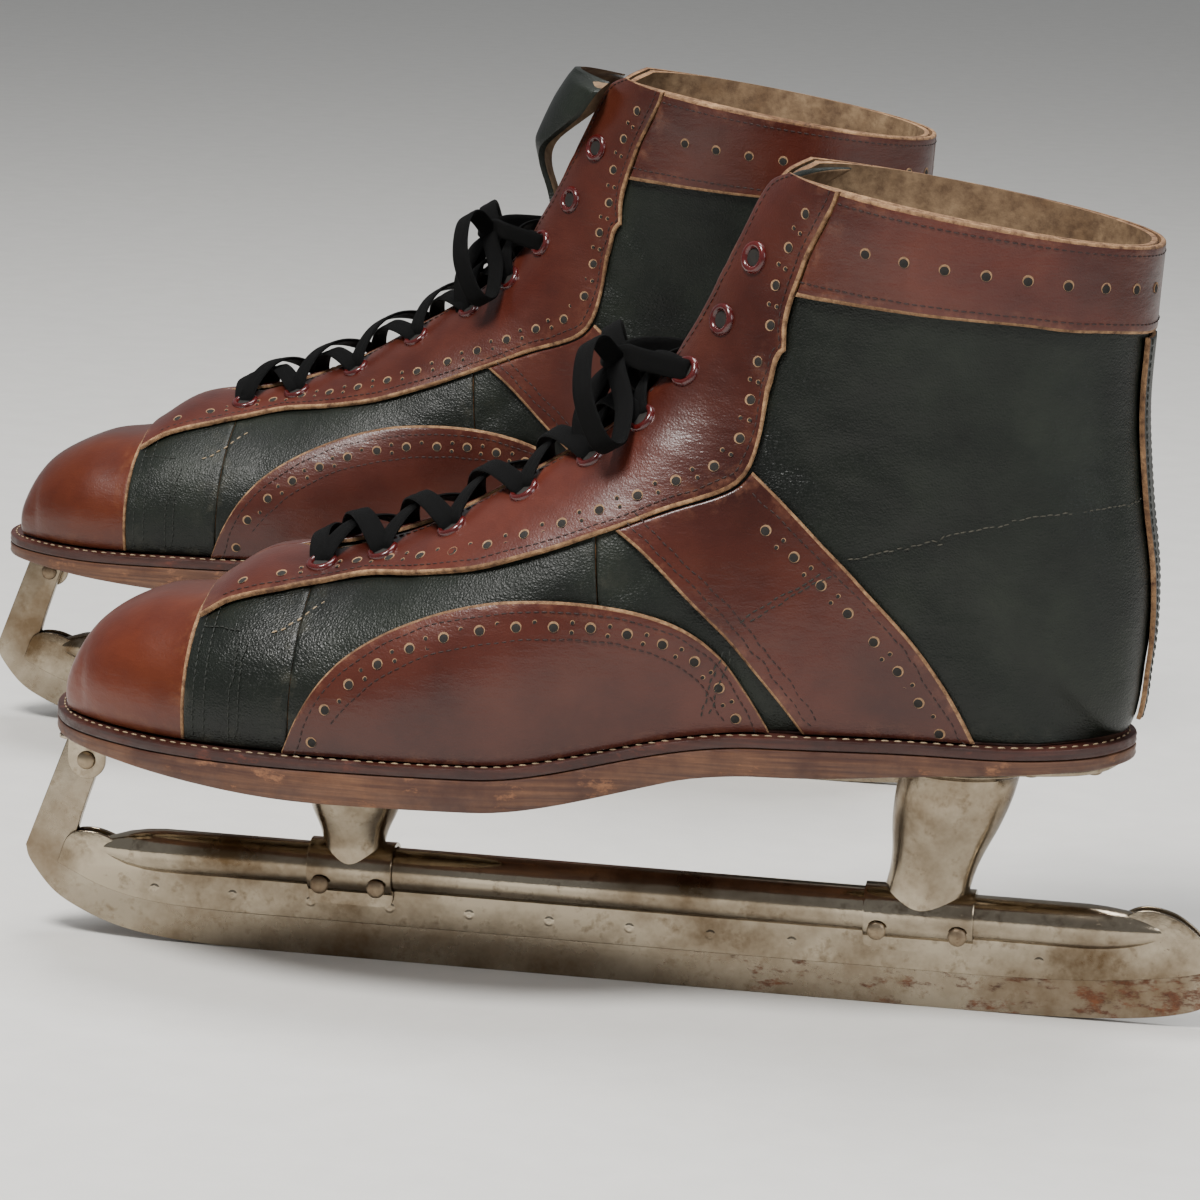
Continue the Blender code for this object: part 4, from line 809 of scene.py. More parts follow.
def lathePattern(name, profile, steps=16):
    # Turned body about Z from (radius, height) pairs, both ends on the axis.
    verts, faces = [(0, 0, profile[0][1])], []
    for radius, height in profile[1:-1]:
        verts += [(radius * math.cos(a), radius * math.sin(a), height)
                  for a in np.linspace(0, 2 * math.pi, steps, endpoint=False)]
    verts.append((0, 0, profile[-1][1]))
    rings = len(profile) - 2
    for k in range(steps):
        n = (k + 1) % steps
        faces.append((0, 1 + n, 1 + k))
        for ring in range(rings - 1):
            a = 1 + ring * steps
            faces.append((a + k, a + n, a + steps + n, a + steps + k))
        last = 1 + (rings - 1) * steps
        faces.append((last + k, last + n, len(verts) - 1))
    mesh = bpy.data.meshes.new(name)
    mesh.from_pydata(verts, [], faces)
    bm = bmesh.new()
    bm.from_mesh(mesh)
    bmesh.ops.recalc_face_normals(bm, faces=bm.faces)
    bm.to_mesh(mesh)
    bm.free()
    obj = bpy.data.objects.new(name, mesh)
    bpy.context.scene.collection.objects.link(obj)
    return obj


# Patterns of unit radius. They are removed once the scene is built.
patterns = {
    "bowl": lathePattern("bowlPattern", [(0, -0.5), (1.02, -0.5), (1.06, 0.03), (1.02, 0.07), (0.95, 0.06),
                                         (0.85, 0.03), (0, 0.02)]),
    "hole": lathePattern("holePattern", [(0, -0.4), (0.86, -0.4), (0.88, 0.03), (0.82, 0.06), (0, 0.04)]),
    "ring": lathePattern("ringPattern", [(0, -0.3), (1.0, -0.3), (1.0, 0.05), (0.93, 0.19), (0.78, 0.26),
                                         (0.62, 0.20), (0.54, 0.02), (0, 0.01)], 28),
    "pit": lathePattern("pitPattern", [(0, -0.3), (0.50, -0.3), (0.53, 0.05), (0.46, 0.06), (0, 0.03)], 20)}


def rowOnSurface(s, u, height, pitch):
    # Evenly pitched points along a (section, girth) line, with the outward and onward directions.
    t = np.linspace(0, 1, 400)
    base = np.linspace(0, 1, len(s))
    fineS, fineU = np.interp(t, base, s), np.interp(t, base, u)
    line = bareSurface(fineS, fineU)
    arc = np.concatenate([[0], np.cumsum(np.linalg.norm(np.diff(line, axis=0), axis=1))])
    count = max(2, int(round(arc[-1] / pitch)))
    at = (np.arange(count) + 0.5) / count * arc[-1]
    rowS, rowU = np.interp(at, arc, fineS), np.interp(at, arc, fineU)
    points = surface(rowS, rowU, height + np.zeros(count))
    outward = surfaceNormal(rowS, rowU)
    ahead = np.gradient(points, axis=0) if count > 1 else np.tile([1.0, 0, 0], (1, 1))
    ahead /= np.maximum(np.linalg.norm(ahead, axis=1, keepdims=True), 1e-9)
    return points, outward, ahead


class Marks:
    # Rows of stitches and holes gathered for one skate, so that each kind is one piece.
    def __init__(self):
        self.rows = {}

    def row(self, kind, s, u, height, pitch, size=1.0):
        points, outward, ahead = rowOnSurface(np.asarray(s, float), np.asarray(u, float), height, pitch)
        self.rows.setdefault(kind, []).append((points, outward, ahead, np.full(len(points), size)))

    def spot(self, kind, point, outward, ahead, size):
        self.rows.setdefault(kind, []).append(
            (np.array([point]), np.array([outward]), np.array([ahead]), np.array([size])))

    def gathered(self, kind):
        return [np.concatenate(part) for part in zip(*self.rows[kind])]


def sideLine(points, side, inset=0.0, count=60):
    # A side-view line on the boot, moved sideways by an inset in the side view.
    line = spline(np.array(points, float), 6)
    ahead = np.gradient(line, axis=0)
    ahead /= np.linalg.norm(ahead, axis=1, keepdims=True)
    moved = line + np.stack([-ahead[:, 1], ahead[:, 0]], 1) * inset
    return located(moved, side, count, smooth=False)


seams = {"stitchPitch": 2.1 * mm, "stitchLength": 1.65 * mm, "stitchThick": 0.42 * mm, "holeRadius": 1.42 * mm,
         "pinRadius": 0.60 * mm, "lift": 0.05 * mm}
wingArch = [(77.7, 69), (83.7, 85), (95.5, 97), (112, 107), (133, 113), (152, 115), (171, 113.5),
            (187, 107.5), (196, 99.5), (202, 89), (205, 82)]
strapFront = [(164, 133), (177.5, 122), (194, 106.5), (204, 95), (213.5, 82.5)]
strapRear = [(200, 147), (218, 132), (237.5, 113.5), (249, 99), (259.5, 82)]
skin = boot["over"] + boot["overlay"]
height = skin + seams["lift"]


def wrinkles(amount, size, seed, stretch=(1, 1, 1)):
    return lambda points, s, u: amount * noiseField(points * np.array(stretch), size, seed)


def ankleFolds(points, s, u):
    # Soft creases across the ankle and the bend of the foot, dying out towards the collar.
    x, z = points[..., 0] / mm, points[..., 2] / mm
    folds = np.zeros(x.shape)
    for at, level, slope, wide, deep in ((176, 128, 0.9, 3.2, 0.55), (190, 118, 0.9, 3.5, 0.45),
                                         (160, 118, 0.6, 4, 0.4),
                                         (226, 158, 0.35, 5, 0.55), (236, 172, 0.3, 5, 0.4),
                                         (250, 140, 0.5, 4, 0.4),
                                         (140, 108, 0.35, 3.5, 0.4), (214, 100, 1.2, 4, 0.3)):
        across = (z - level - slope * (x - at)) / math.hypot(1, slope)
        reach = np.exp(-((x - at) ** 2 + (z - level) ** 2) / (2 * 26 ** 2))
        folds -= deep * mm * reach * np.exp(-(across / wide) ** 2)
    return folds + 0.28 * mm * noiseField(points, 0.045, 5) + 0.10 * mm * noiseField(points, 0.016, 9)


def throatEdge(s, side):
    return girthAt(s, throatGap(s), side)


def makeCap(hand):
    part = Builder()
    s, u = np.meshgrid(capSeam * (np.linspace(0.03, 1, 9) ** 0.8), np.linspace(-1, 1, 17), indexing="ij")
    panel(part, s, u, -boot["leather"], 0.0, ("last",), wrinkles(0.16 * mm, 0.05, 3), 44, 70)
    cap = part.finish("toeCap", hand, ["capLeather", "lining", "rawEdge"])
    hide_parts(hand["prefix"] + "toe_cap")


def makeVamp(hand, marks):
    part = Builder()
    seam = 0.012
    rows = np.linspace(capSeam + seam, throatStart, 6)
    s = np.repeat(rows[:, None], 21, axis=1)
    u = np.tile(np.linspace(-1, 1, 21), (6, 1))
    panel(part, s, u, -boot["leather"], 0.0, (), wrinkles(0.14 * mm, 0.04, 4), 16, 70)
    rows = np.linspace(throatStart + 0.004, vampEnd, 9)
    for side in (-1, 1):
        edge = throatEdge(rows, side)
        t = np.linspace(0, 1, 8)
        u = side + (edge - side)[:, None] * t
        panel(part, np.repeat(rows[:, None], 8, axis=1), u, -boot["leather"], 0.0, (), ankleFolds, 36, 34)
    vamp = part.finish("vamp", hand, ["darkLeather", "lining", "rawEdge"])
    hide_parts(hand["prefix"] + "vamp")
    flat = np.linspace(-0.97, 0.97, 80)
    for shift in (0.20, 0.42):
        marks.row("black", np.full(80, capSeam + shift), flat, 0.08 * mm, seams["stitchPitch"])
    for side in (-1, 1):
        for shift in (0, 2.4):
            upright = [(61 + shift, 70.5), (61.5 + shift, 80), (62 + shift, 90), (62.5 + shift, 97)]
            marks.row("black", *sideLine(upright, side), 0.08 * mm, 2.0 * mm)
        marks.row("black", *sideLine([(51, 98), (56, 98.8), (62, 99)], side), 0.08 * mm, 2.0 * mm)
        marks.row("pale", *sideLine([(71, 99), (76, 101.5), (85, 108)], side), 0.08 * mm, 2.6 * mm)


def makeQuarters(hand, marks):
    for side in (-1, 1):
        marks.row("scuff", *sideLine([(224, 128.5), (243, 135), (262, 140.5), (276, 144), (298, 146)], side),
                  0.02 * mm, 1.9 * mm)
    for label, side in (("outer", -1), ("inner", 1)):
        rows = np.concatenate([np.linspace(vampEnd + 0.012, weltRows - 1, 8),
                               np.linspace(weltRows - 1, top, 7)[1:]])
        edge = throatEdge(rows, side)
        back = girthAt(rows, 0.3 * mm, side, fromBase=True)
        back = np.where(rows < weltRows - 1.3, side, back)
        u = back[:, None] + (edge - back)[:, None] * np.linspace(0, 1, 11)
        part = Builder()
        panel(part, np.repeat(rows[:, None], 11, axis=1), u, -boot["leather"], 0.0, ("last",),
              ankleFolds, 80, 64)
        quarter = part.finish("quarter" + label.title(), hand, ["darkLeather", "lining", "rawEdge"])
        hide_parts(hand["prefix"] + "quarter_" + label)


def facingEdge(rows, side):
    s, u = located(facingLine, side, 60)
    order = np.argsort(s)
    return np.interp(rows, s[order], u[order])


def collarLow(side, shares):
    s, u = located(collarLine, side, 40)
    order = np.argsort(np.abs(u))
    front = facingEdge(np.array([s[0]]), side)[0]
    return np.interp(np.abs(front + (side - front) * shares), np.abs(u)[order], s[order])


def facingGrid(side):
    rows = np.concatenate([np.linspace(capSeam + 0.1, throatStart, 5), np.linspace(throatStart, top, 22)[1:]])
    inner = np.where(rows < throatStart - 0.01, 0.15 * mm, throatGap(rows))
    end = facingEdge(rows, side)
    return rows, inner, girthAt(rows, inner, side), end


def makeFacings(hand, marks):
    for label, side in (("outer", -1), ("inner", 1)):
        rows, inner, start, end = facingGrid(side)
        t = np.linspace(0, 1, 4)
        part = Builder()
        panel(part, np.repeat(rows[:, None], 4, axis=1), start[:, None] + (end - start)[:, None] * t,
              boot["over"], skin,
              ("right", "last", "first"), wrinkles(0.10 * mm, 0.03, 6), 110, 20)
        facing = part.finish("facing" + label.title(), hand, ["brownLeather", "rawEdge", "rawEdge"])
        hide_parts(hand["prefix"] + "facing_" + label)
        keep = rows > throatStart + 0.2
        reach = arcTo(rows, end, side)
        marks.row("dark", rows[keep], girthAt(rows[keep], (inner + 2.4 * mm)[keep], side), height,
                  seams["stitchPitch"])
        marks.row("dark", rows[1:], girthAt(rows[1:], (reach - 2.6 * mm)[1:], side), height,
                  seams["stitchPitch"])
        dots = rows[1:-1]
        dotAt = girthAt(dots, (reach - 6.4 * mm)[1:-1], side)
        patternRow(marks, dots, dotAt, height)


def patternRow(marks, s, u, height, pitch=10.6 * mm):
    # Large punched holes with a pair of small ones between them.
    points, outward, ahead = rowOnSurface(s, u, height, pitch)
    for point, out, on in zip(points, outward, ahead):
        marks.spot("large", point, out, on, seams["holeRadius"])
    arcs = 0.5 * (points[1:] + points[:-1])
    for point, out, on in zip(arcs, outward[1:], ahead[1:]):
        for shift in (-1.3 * mm, 1.3 * mm):
            marks.spot("small", point + np.cross(out, on) * shift, out, on, seams["pinRadius"])


def makeWings(hand, marks):
    for label, side in (("outer", -1), ("inner", 1)):
        s, u = located(wingArch, side, 15)
        t = np.linspace(0, 1, 6)
        low = np.where(np.abs(u) > 0.985, side * 0.985, u)
        u = low[:, None] + (side - low)[:, None] * t
        part = Builder()
        panel(part, np.repeat(s[:, None], 6, axis=1), u, boot["over"], skin, ("left", "first", "last"),
              wrinkles(0.12 * mm, 0.04, 8), 70, 34)
        wing = part.finish("wing" + label.title(), hand, ["brownLeather", "rawEdge", "rawEdge"])
        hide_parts(hand["prefix"] + "wing_panel_" + label)
        marks.row("dark", *sideLine(wingArch, side, -3.0), height, seams["stitchPitch"])
        marks.row("dark", *sideLine(wingArch[1:-1], side, -9.6), height, seams["stitchPitch"])
        for shift in (0, 2.4):
            marks.row("black", *sideLine([(193 + shift, 104), (190 + shift, 95), (187.5 + shift, 86)], side),
                      height,
                      seams["stitchPitch"])
        holeS, holeU = sideLine(wingArch, side, -6.3)
        patternRow(marks, holeS, holeU, height, 9.8 * mm)


def makeStraps(hand, marks):
    for label, side in (("outer", -1), ("inner", 1)):
        sA, uA = located(strapFront, side, 12)
        sB, uB = located(strapRear, side, 12)
        t = np.linspace(0, 1, 8)
        s = np.outer(sA, 1 - t) + np.outer(sB, t)
        u = np.outer(uA, 1 - t) + np.outer(uB, t)
        butt = facingEdge(s[0], side) + side * 1.5 * boot["butt"]
        for k in range(3):
            u[k] = butt + (u[3] - butt) * k / 3
        u[-1] = side
        part = Builder()
        panel(part, s, u, boot["over"], skin, ("left", "right"), wrinkles(0.14 * mm, 0.03, 11), 56, 34)
        strap = part.finish("strap" + label.title(), hand, ["brownLeather", "rawEdge", "rawEdge"])
        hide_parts(hand["prefix"] + "ankle_strap_" + label)
        for inset in (3.2, 6.0):
            marks.row("dark", *sideLine(strapFront, side, inset), height, seams["stitchPitch"])
        marks.row("dark", *sideLine(strapRear, side, -2.8), height, seams["stitchPitch"])
        holeS, holeU = sideLine(strapRear, side, -7.2)
        patternRow(marks, holeS[3:], holeU[3:], height, 10.2 * mm)
        for shift in (0, 2.4):
            crossing = [(197 + shift, 111.5), (207 + shift, 118.5), (218 + shift, 125)]
            marks.row("black", *sideLine(crossing, side), height, seams["stitchPitch"])


def makeCollar(hand, marks):
    part = Builder()
    shares = np.linspace(0, 1, 11)
    for side in (-1, 1):
        low = collarLow(side, shares)
        s = low + (top - low) * np.linspace(0, 1, 4)[:, None]
        front = (facingEdge(s[:, 0], side) + side * boot["butt"])[:, None]
        u = front + (side * 0.99999 - front) * shares
        panel(part, s, u, boot["over"], skin, ("first", "last"), wrinkles(0.12 * mm, 0.03, 12), 24, 60)
        fine = np.linspace(0, 1, 30)
        for share, kind in ((0.11, "dark"), (0.89, "dark"), (0.52, "holes")):
            at = share * 3
            rowS = np.interp(fine, shares, low + (top - low) * share)
            rowU = np.interp(fine, shares, u[int(round(at))])
            if kind == "dark":
                marks.row("dark", rowS, rowU, height, seams["stitchPitch"])
            else:
                patternRow(marks, rowS[2:-1], rowU[2:-1], height, 10.8 * mm)
    collar = part.finish("collarBand", hand, ["brownLeather", "rawEdge", "rawEdge"])
    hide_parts(hand["prefix"] + "collar_band")
    rows = np.linspace(weltRows - 0.7, collarLow(-1, np.array([1.0]))[0] - 0.08, 10)
    swell = 9 * mm * (0.6 + 0.5 * ramp(rows, 13, 17))
    left, right = girthAt(rows, swell, -1, True), girthAt(rows, swell, 1, True)
    part = Builder()
    for side, edge in ((-1, left), (1, right)):
        u = edge[:, None] + (side * 0.99999 - edge)[:, None] * np.linspace(0, 1, 3)
        panel(part, np.repeat(rows[:, None], 3, axis=1), u, boot["over"], skin, ("left",),
              None, 40, 12)
        marks.row("black", rows, girthAt(rows, swell - 2.6 * mm, side, True), height, seams["stitchPitch"])
    stay = part.finish("backStay", hand, ["darkLeather", "rawEdge", "rawEdge"])
    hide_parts(hand["prefix"] + "back_stay")


tongueLook = {"thick": 2.0 * mm, "under": -3.0 * mm, "hinge": 10.5, "cover": 11 * mm, "neck": 2.5 * mm,
              "flare": 18 * mm, "taper": 8 * mm, "forward": 17.5 * mm, "rise": 5 * mm, "curl": 12 * mm}


def makeTongue(hand, forward):
    # One piece from the vamp to the free end, bending at the hinge line.
    under, thick = tongueLook["under"], tongueLook["thick"]
    t = np.linspace(-1, 1, 25)
    last = tongueLook["hinge"] if forward else top - 0.1
    rows = np.linspace(throatStart - 0.35, last, 60 if not forward else 34)
    edge = np.abs(girthAt(rows, throatGap(rows) + tongueLook["cover"], 1))
    s, u = np.repeat(rows[:, None], 25, axis=1), edge[:, None] * t
    u[:, 12] = 1e-4
    outer, inner = surface(s, u, under), surface(s, u, under - thick)
    hinge = surface(np.array([tongueLook["hinge"]]), np.array([1e-4]), np.array([under - thick / 2]))[0]
    if forward:
        v = np.linspace(0, 1, 46)[1:, None]
        _, _, ridgeX, ridgeZ, *_ = sectionValues(tongueLook["hinge"] + (top - 0.1 - tongueLook["hinge"]) * v)
        half = (boot["throatGap"] - tongueLook["neck"]) + tongueLook["flare"] * ramp(v, 0.2, 0.66)
        half = half - tongueLook["taper"] * ramp(v, 0.86, 1.0)
        midX = hinge[0] + (ridgeX - ridgeX[0]) - tongueLook["forward"] * ramp(v, 0, 0.4)
        midZ = hinge[2] + (ridgeZ - ridgeZ[0]) + tongueLook["rise"] * v
        back = tongueLook["curl"] * ramp(v, 0.2, 0.66)
        face = np.stack([midX + back * t ** 2 - thick / 2, half * t, midZ - 3 * mm * t ** 2 * v], -1)
        share = ramp(v[:, 0], 0.0, 0.16)[:, None, None]
        firstOuter, firstInner = outer[-1], inner[-1]
        outer = np.concatenate([outer, face * share + (firstOuter + face - face[0]) * (1 - share)])
        rear = face + np.array([thick, 0, 0])
        inner = np.concatenate([inner, rear * share + (firstInner + rear - rear[0]) * (1 - share)])
    verts, (face, below), rims = shellParts(outer, inner)
    faces = list(face) + list(below)
    kinds = [0] * len(face) + [1] * len(below)
    for quads in rims.values():
        faces += list(quads)
        kinds += [2] * len(quads)
    part = Builder()
    part.add(verts, faces, kinds)
    tongue = part.finish("tongue", hand, ["darkLeather", "lining", "darkLeather"], ride=False, weld=0,
                         bevel=(0.5 * mm, 2))
    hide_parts(hand["prefix"] + "tongue_lower", hand["prefix"] + "tongue_upper")
    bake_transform(tongue)


laceLook = {"wide": 6.0 * mm, "thick": 1.1 * mm, "laced": 7, "bow": 1.25}
eyelets = [(80, 113), (97.7, 117.5), (117, 122.5), (137, 133.5), (154.5, 144), (169, 154.5), (180.5, 168),
           (188.5, 186), (195, 205)]


def eyeletAt(k, side):
    s, _ = locate(eyelets[k][0] * mm, eyelets[k][1] * mm, side)
    u = girthAt(s, throatGap(s) + boot["eyeletInset"], side)[0]
    return s, u


def eyeletPoint(k, side, offset):
    s, u = eyeletAt(k, side)
    return surface(np.array([s]), np.array([u]), offset)[0]


def ribbon(part, points, across, wide=laceLook["wide"], thick=laceLook["thick"]):
    # Flat lace along a smooth line; across gives its width direction at each knot.
    line = spline(points, 8)
    side = spline(across, 8)
    ahead = np.gradient(line, axis=0)
    ahead /= np.maximum(np.linalg.norm(ahead, axis=1, keepdims=True), 1e-9)
    side -= ahead * np.sum(side * ahead, axis=1, keepdims=True)
    side /= np.maximum(np.linalg.norm(side, axis=1, keepdims=True), 1e-9)
    normal = np.cross(ahead, side)
    shape = [(-0.5, 0), (-0.44, 0.42), (-0.2, 0.5), (0, 0.42), (0.2, 0.5), (0.44, 0.42), (0.5, 0),
             (0.44, -0.42),
             (0.2, -0.5), (0, -0.42), (-0.2, -0.5), (-0.44, -0.42)]
    n, m = len(line), len(shape)
    verts = np.stack([line + side * (a * wide) + normal * (b * thick) for a, b in shape], 1).reshape(-1, 3)
    arc = np.concatenate([[0], np.cumsum(np.linalg.norm(np.diff(line, axis=0), axis=1))])
    uv = np.stack([np.repeat(arc, m) / mm, np.tile([a * wide / mm for a, _ in shape], n)], 1)
    part.add(verts, cappedFaces(n, m), 0, None, uv)


def makeLaces(hand, marks):
    part = Builder()
    stand = skin + 1.1 * mm
    for k in range(laceLook["laced"] - 1):
        for first in (-1, 1):
            high = 2.4 * mm if first < 0 else 4.6 * mm
            start, end = eyeletPoint(k, first, stand * 0.4), eyeletPoint(k + 1, -first, stand * 0.4)
            sA, uA = eyeletAt(k, first)
            sB, uB = eyeletAt(k + 1, -first)
            outA = surfaceNormal(np.array([sA]), np.array([uA]))[0]
            outB = surfaceNormal(np.array([sB]), np.array([uB]))[0]
            up = outA + outB
            up[1] = 0
            up /= np.linalg.norm(up)
            knots, sides = [], []
            onward = (end - start) / np.linalg.norm(end - start)
            for t in (0.0, 0.06, 0.2, 0.35, 0.5, 0.65, 0.8, 0.94, 1.0):
                dive = -1.6 * mm if t in (0.0, 1.0) else 1.3 * mm
                bow = 4 * t * (1 - t)
                rise = (outA * (1 - t) + outB * t) * dive + up * (4.4 * mm + high) * bow
                knots.append(start + (end - start) * t + rise)
                flat = outA * (1 - t) + outB * t + up * bow
                sides.append(np.cross(onward, flat / np.linalg.norm(flat)))
            ribbon(part, np.array(knots), np.array(sides))
    first, second = eyeletPoint(0, -1, 0.4 * stand), eyeletPoint(0, 1, 0.4 * stand)
    lift = np.array([-0.5, 0, 0.85])
    knots = [first - lift * 1.2 * mm] + [first + (second - first) * t + lift * (1.5 + 6.0 * 4 * t * (1 - t)) * mm
                                         for t in (0.06, 0.28, 0.5, 0.72, 0.94)] + [second - lift * 1.2 * mm]
    ribbon(part, np.array(knots), np.tile([0.86, 0, 0.5], (7, 1)))
    # The knot in front of the sixth pair, with a loop and an end falling on each side.
    low = 0.5 * (eyeletPoint(5, -1, stand) + eyeletPoint(5, 1, stand))
    knot = low + np.array([-9 * mm, 0, 12 * mm])
    for side in (-1, 1):
        last = eyeletPoint(laceLook["laced"] - 1, side, 0.4 * stand)
        s, u = eyeletAt(laceLook["laced"] - 1, side)
        out = surfaceNormal(np.array([s]), np.array([u]))[0]
        knots = [last - out * 1.4 * mm, last + out * 1.8 * mm,
                 last + (knot - last) * 0.35 + np.array([-5, side * 1, 2]) * mm,
                 last + (knot - last) * 0.72 + np.array([-3, 0, 2]) * mm,
                 knot + np.array([0, side * 2, 0]) * mm]
        ribbon(part, np.array(knots), np.array([[0, 0.2, 1]] * 5))
        loop = np.array([(0, 2, 0), (-3, 8, 5), (-4, 17, 4), (-3, 24, -4), (1, 26, -13), (4, 21, -15),
                         (4, 13, -8),
                         (1, 6, -2), (0, 2, 0)], float) * mm
        loop *= laceLook["bow"]
        loop[:, 1] *= side
        ribbon(part, knot + loop, np.array([[0.8, 0.15 * side, 0.5]] * 9))
        tail = np.array([(0, 2, -1), (-3, 6, -5), (-4, 10, -14), (-2, 14, -24), (1, 17, -33), (3, 19, -40)],
                        float) * mm
        tail[:, 1] *= side
        tail[:, 0] += -4 * mm * ramp(np.linspace(0, 1, 6), 0.1, 0.5)
        ribbon(part, knot + tail, np.array([[0.75, 0.35 * side, 0.2]] * 6))
    turn = [knot + np.array([-2.6 * math.cos(a) - 0.6, 3.4 * math.sin(a), 3.2 * math.cos(a) * 0.4]) * mm
            for a in np.linspace(0, 2 * math.pi, 9)]
    ribbon(part, np.array(turn), np.array([[0.2, 0, 1.0]] * 9), 6.0 * mm, 2.4 * mm)
    lace = part.finish("lace", hand, ["lace"], weld=0, uvName="lace")
    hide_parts(hand["prefix"] + "lace")
    for k in range(len(eyelets)):
        for side in (-1, 1):
            s, u = eyeletAt(k, side)
            out = surfaceNormal(np.array([s]), np.array([u]))[0]
            along = np.cross(out, [0, 1.0, 0])
            point = surface(np.array([s]), np.array([u]), skin + 0.02 * mm)[0]
            marks.spot("eyelet", point, out, along, 4.4 * mm)


soleLook = {"midsole": 3.0 * mm, "insole": 3.0 * mm, "gap": 0.3 * mm, "rounding": 0.7 * mm, "outline": 264,
            "stitchPitch": 3.4 * mm, "stitchInset": 2.0 * mm, "insoleGap": 3.4 * mm, "insoleLift": 0.9 * mm}


def soleOutline(count):
    # Points round the sole, with the onward and the inward direction at each.
    at = np.linspace(0, len(solePlan), count, endpoint=False)
    plan = np.stack([np.interp(at, np.arange(len(solePlan) + 1), np.append(solePlan[:, k], solePlan[0, k]))
                     for k in (0, 1)], 1)
    ahead = np.roll(plan, -1, axis=0) - np.roll(plan, 1, axis=0)
    ahead /= np.linalg.norm(ahead, axis=1, keepdims=True)
    inward = np.stack([ahead[:, 1], -ahead[:, 0]], 1)
    if np.sum((plan.mean(0) - plan) * inward) < 0:
        inward = -inward
    return plan, ahead, inward


def roundedLayer(part, low, high, rounding, groove):
    # Layer with the sole's plan: a closed outline at each level, rounded top and bottom.
    count = soleLook["outline"]
    plan, _, inward = soleOutline(count)
    rows = []
    levels = [(14 * mm, 1, 0), (4 * mm, 1, 0), (rounding, 1, 0), (0.29 * rounding, 1, -0.29), (0, 1, -1),
              (groove * 0.6, 0, 0), (0, 0, 1), (0.29 * rounding, 0, 0.29), (rounding, 0, 0), (4 * mm, 0, 0),
              (14 * mm, 0, 0)]
    for depth, isTop, turn in levels:
        xy = plan + inward * depth
        under, over = low(np.clip(xy[:, 0], 0, boot["length"])), high(np.clip(xy[:, 0], 0, boot["length"]))
        if depth == groove * 0.6:
            z = 0.5 * (under + over)
        else:
            z = over + turn * rounding if isTop else under + turn * rounding
        rows.append(np.column_stack([xy, z]))
    rows = np.array(rows)
    n = len(rows)
    faces, index = bandFaces(n, count)
    # Close the top and the bottom across the sole, pairing outline points of equal place along it.
    for ring in (0, n - 1):
        loop = index[ring].tolist()
        for k in range(count // 2):
            face = withoutRepeats([loop[k], loop[k + 1], loop[(count - k - 1) % count],
                                   loop[(count - k) % count]])
            if len(face) > 2:
                faces.append(face)
    part.add(rows.reshape(-1, 3), faces, 0)


def makeSoles(hand, marks):
    welt = soleLook["midsole"]
    layers = [("midsole", "midsole", "welt", "welt_leather", lambda x: weltHeight(x) - welt, weltHeight),
              ("outsole", "outsole", "sole", "sole_leather", soleBottom,
               lambda x: weltHeight(x) - welt - 0.15 * mm)]
    for name, node, look, slot, low, high in layers:
        part = Builder()
        roundedLayer(part, low, high, soleLook["rounding"], groove=0.3 * mm)
        layer = part.finish(name, hand, [look], smooth=40)
        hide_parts(hand["prefix"] + node)
    rows = np.linspace(1.4, weltRows - 1.4, 60)
    x, _, _, _, centre, feather, _, _, _ = sectionValues(rows)
    half = feather - boot["leather"] - soleLook["insoleGap"]
    t = np.linspace(-1, 1, 13)
    low = weltHeight(x) + soleLook["insoleLift"]
    dish = -0.5 * mm * (1 - t ** 2)
    outer = np.stack([np.repeat(x[:, None], 13, 1), centre[:, None] + half[:, None] * t,
                      (low + soleLook["insole"])[:, None] + dish], -1)
    inner = outer.copy()
    inner[..., 2] = low[:, None]
    part = Builder()
    plainShell(part, outer, inner)
    insole = part.finish("insole", hand, ["lining"], bevel=(0.4 * mm, 2))
    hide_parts(hand["prefix"] + "insole")
    plan, ahead, inward = soleOutline(1400)
    line = plan + inward * soleLook["stitchInset"]
    arc = np.concatenate([[0], np.cumsum(np.linalg.norm(np.diff(line, axis=0), axis=1))])
    at = np.arange(0, arc[-1], soleLook["stitchPitch"])
    xy = np.stack([np.interp(at, arc, line[:, k]) for k in (0, 1)], 1)
    on = np.stack([np.interp(at, arc, ahead[:, k]) for k in (0, 1)], 1)
    points = np.column_stack([xy, weltHeight(xy[:, 0]) + 0.08 * mm])
    marks.rows.setdefault("weltThread", []).append(
        (points, np.tile([0, 0, 1.0], (len(at), 1)), np.column_stack([on, np.zeros(len(at))]),
         np.ones(len(at))))


steel = {"blade": 3.0 * mm, "strip": 10.5 * mm, "tube": 6.2 * mm, "centre": 26 * mm, "sheet": 0.9 * mm,
         "saddle": 1.1 * mm, "arm": 11 * mm, "plate": 1.5 * mm, "gap": 0.3 * mm, "rivet": 1.6 * mm,
         "head": 2.6 * mm,
         "postDepth": 25 * mm}
posts = {"front_post": {"x": 86.5 * mm, "lean": 0.0, "top": 27 * mm, "foot": 18 * mm},
         "rear_post": {"x": 244.5 * mm, "lean": 9 * mm, "top": 32 * mm, "foot": 24 * mm}}


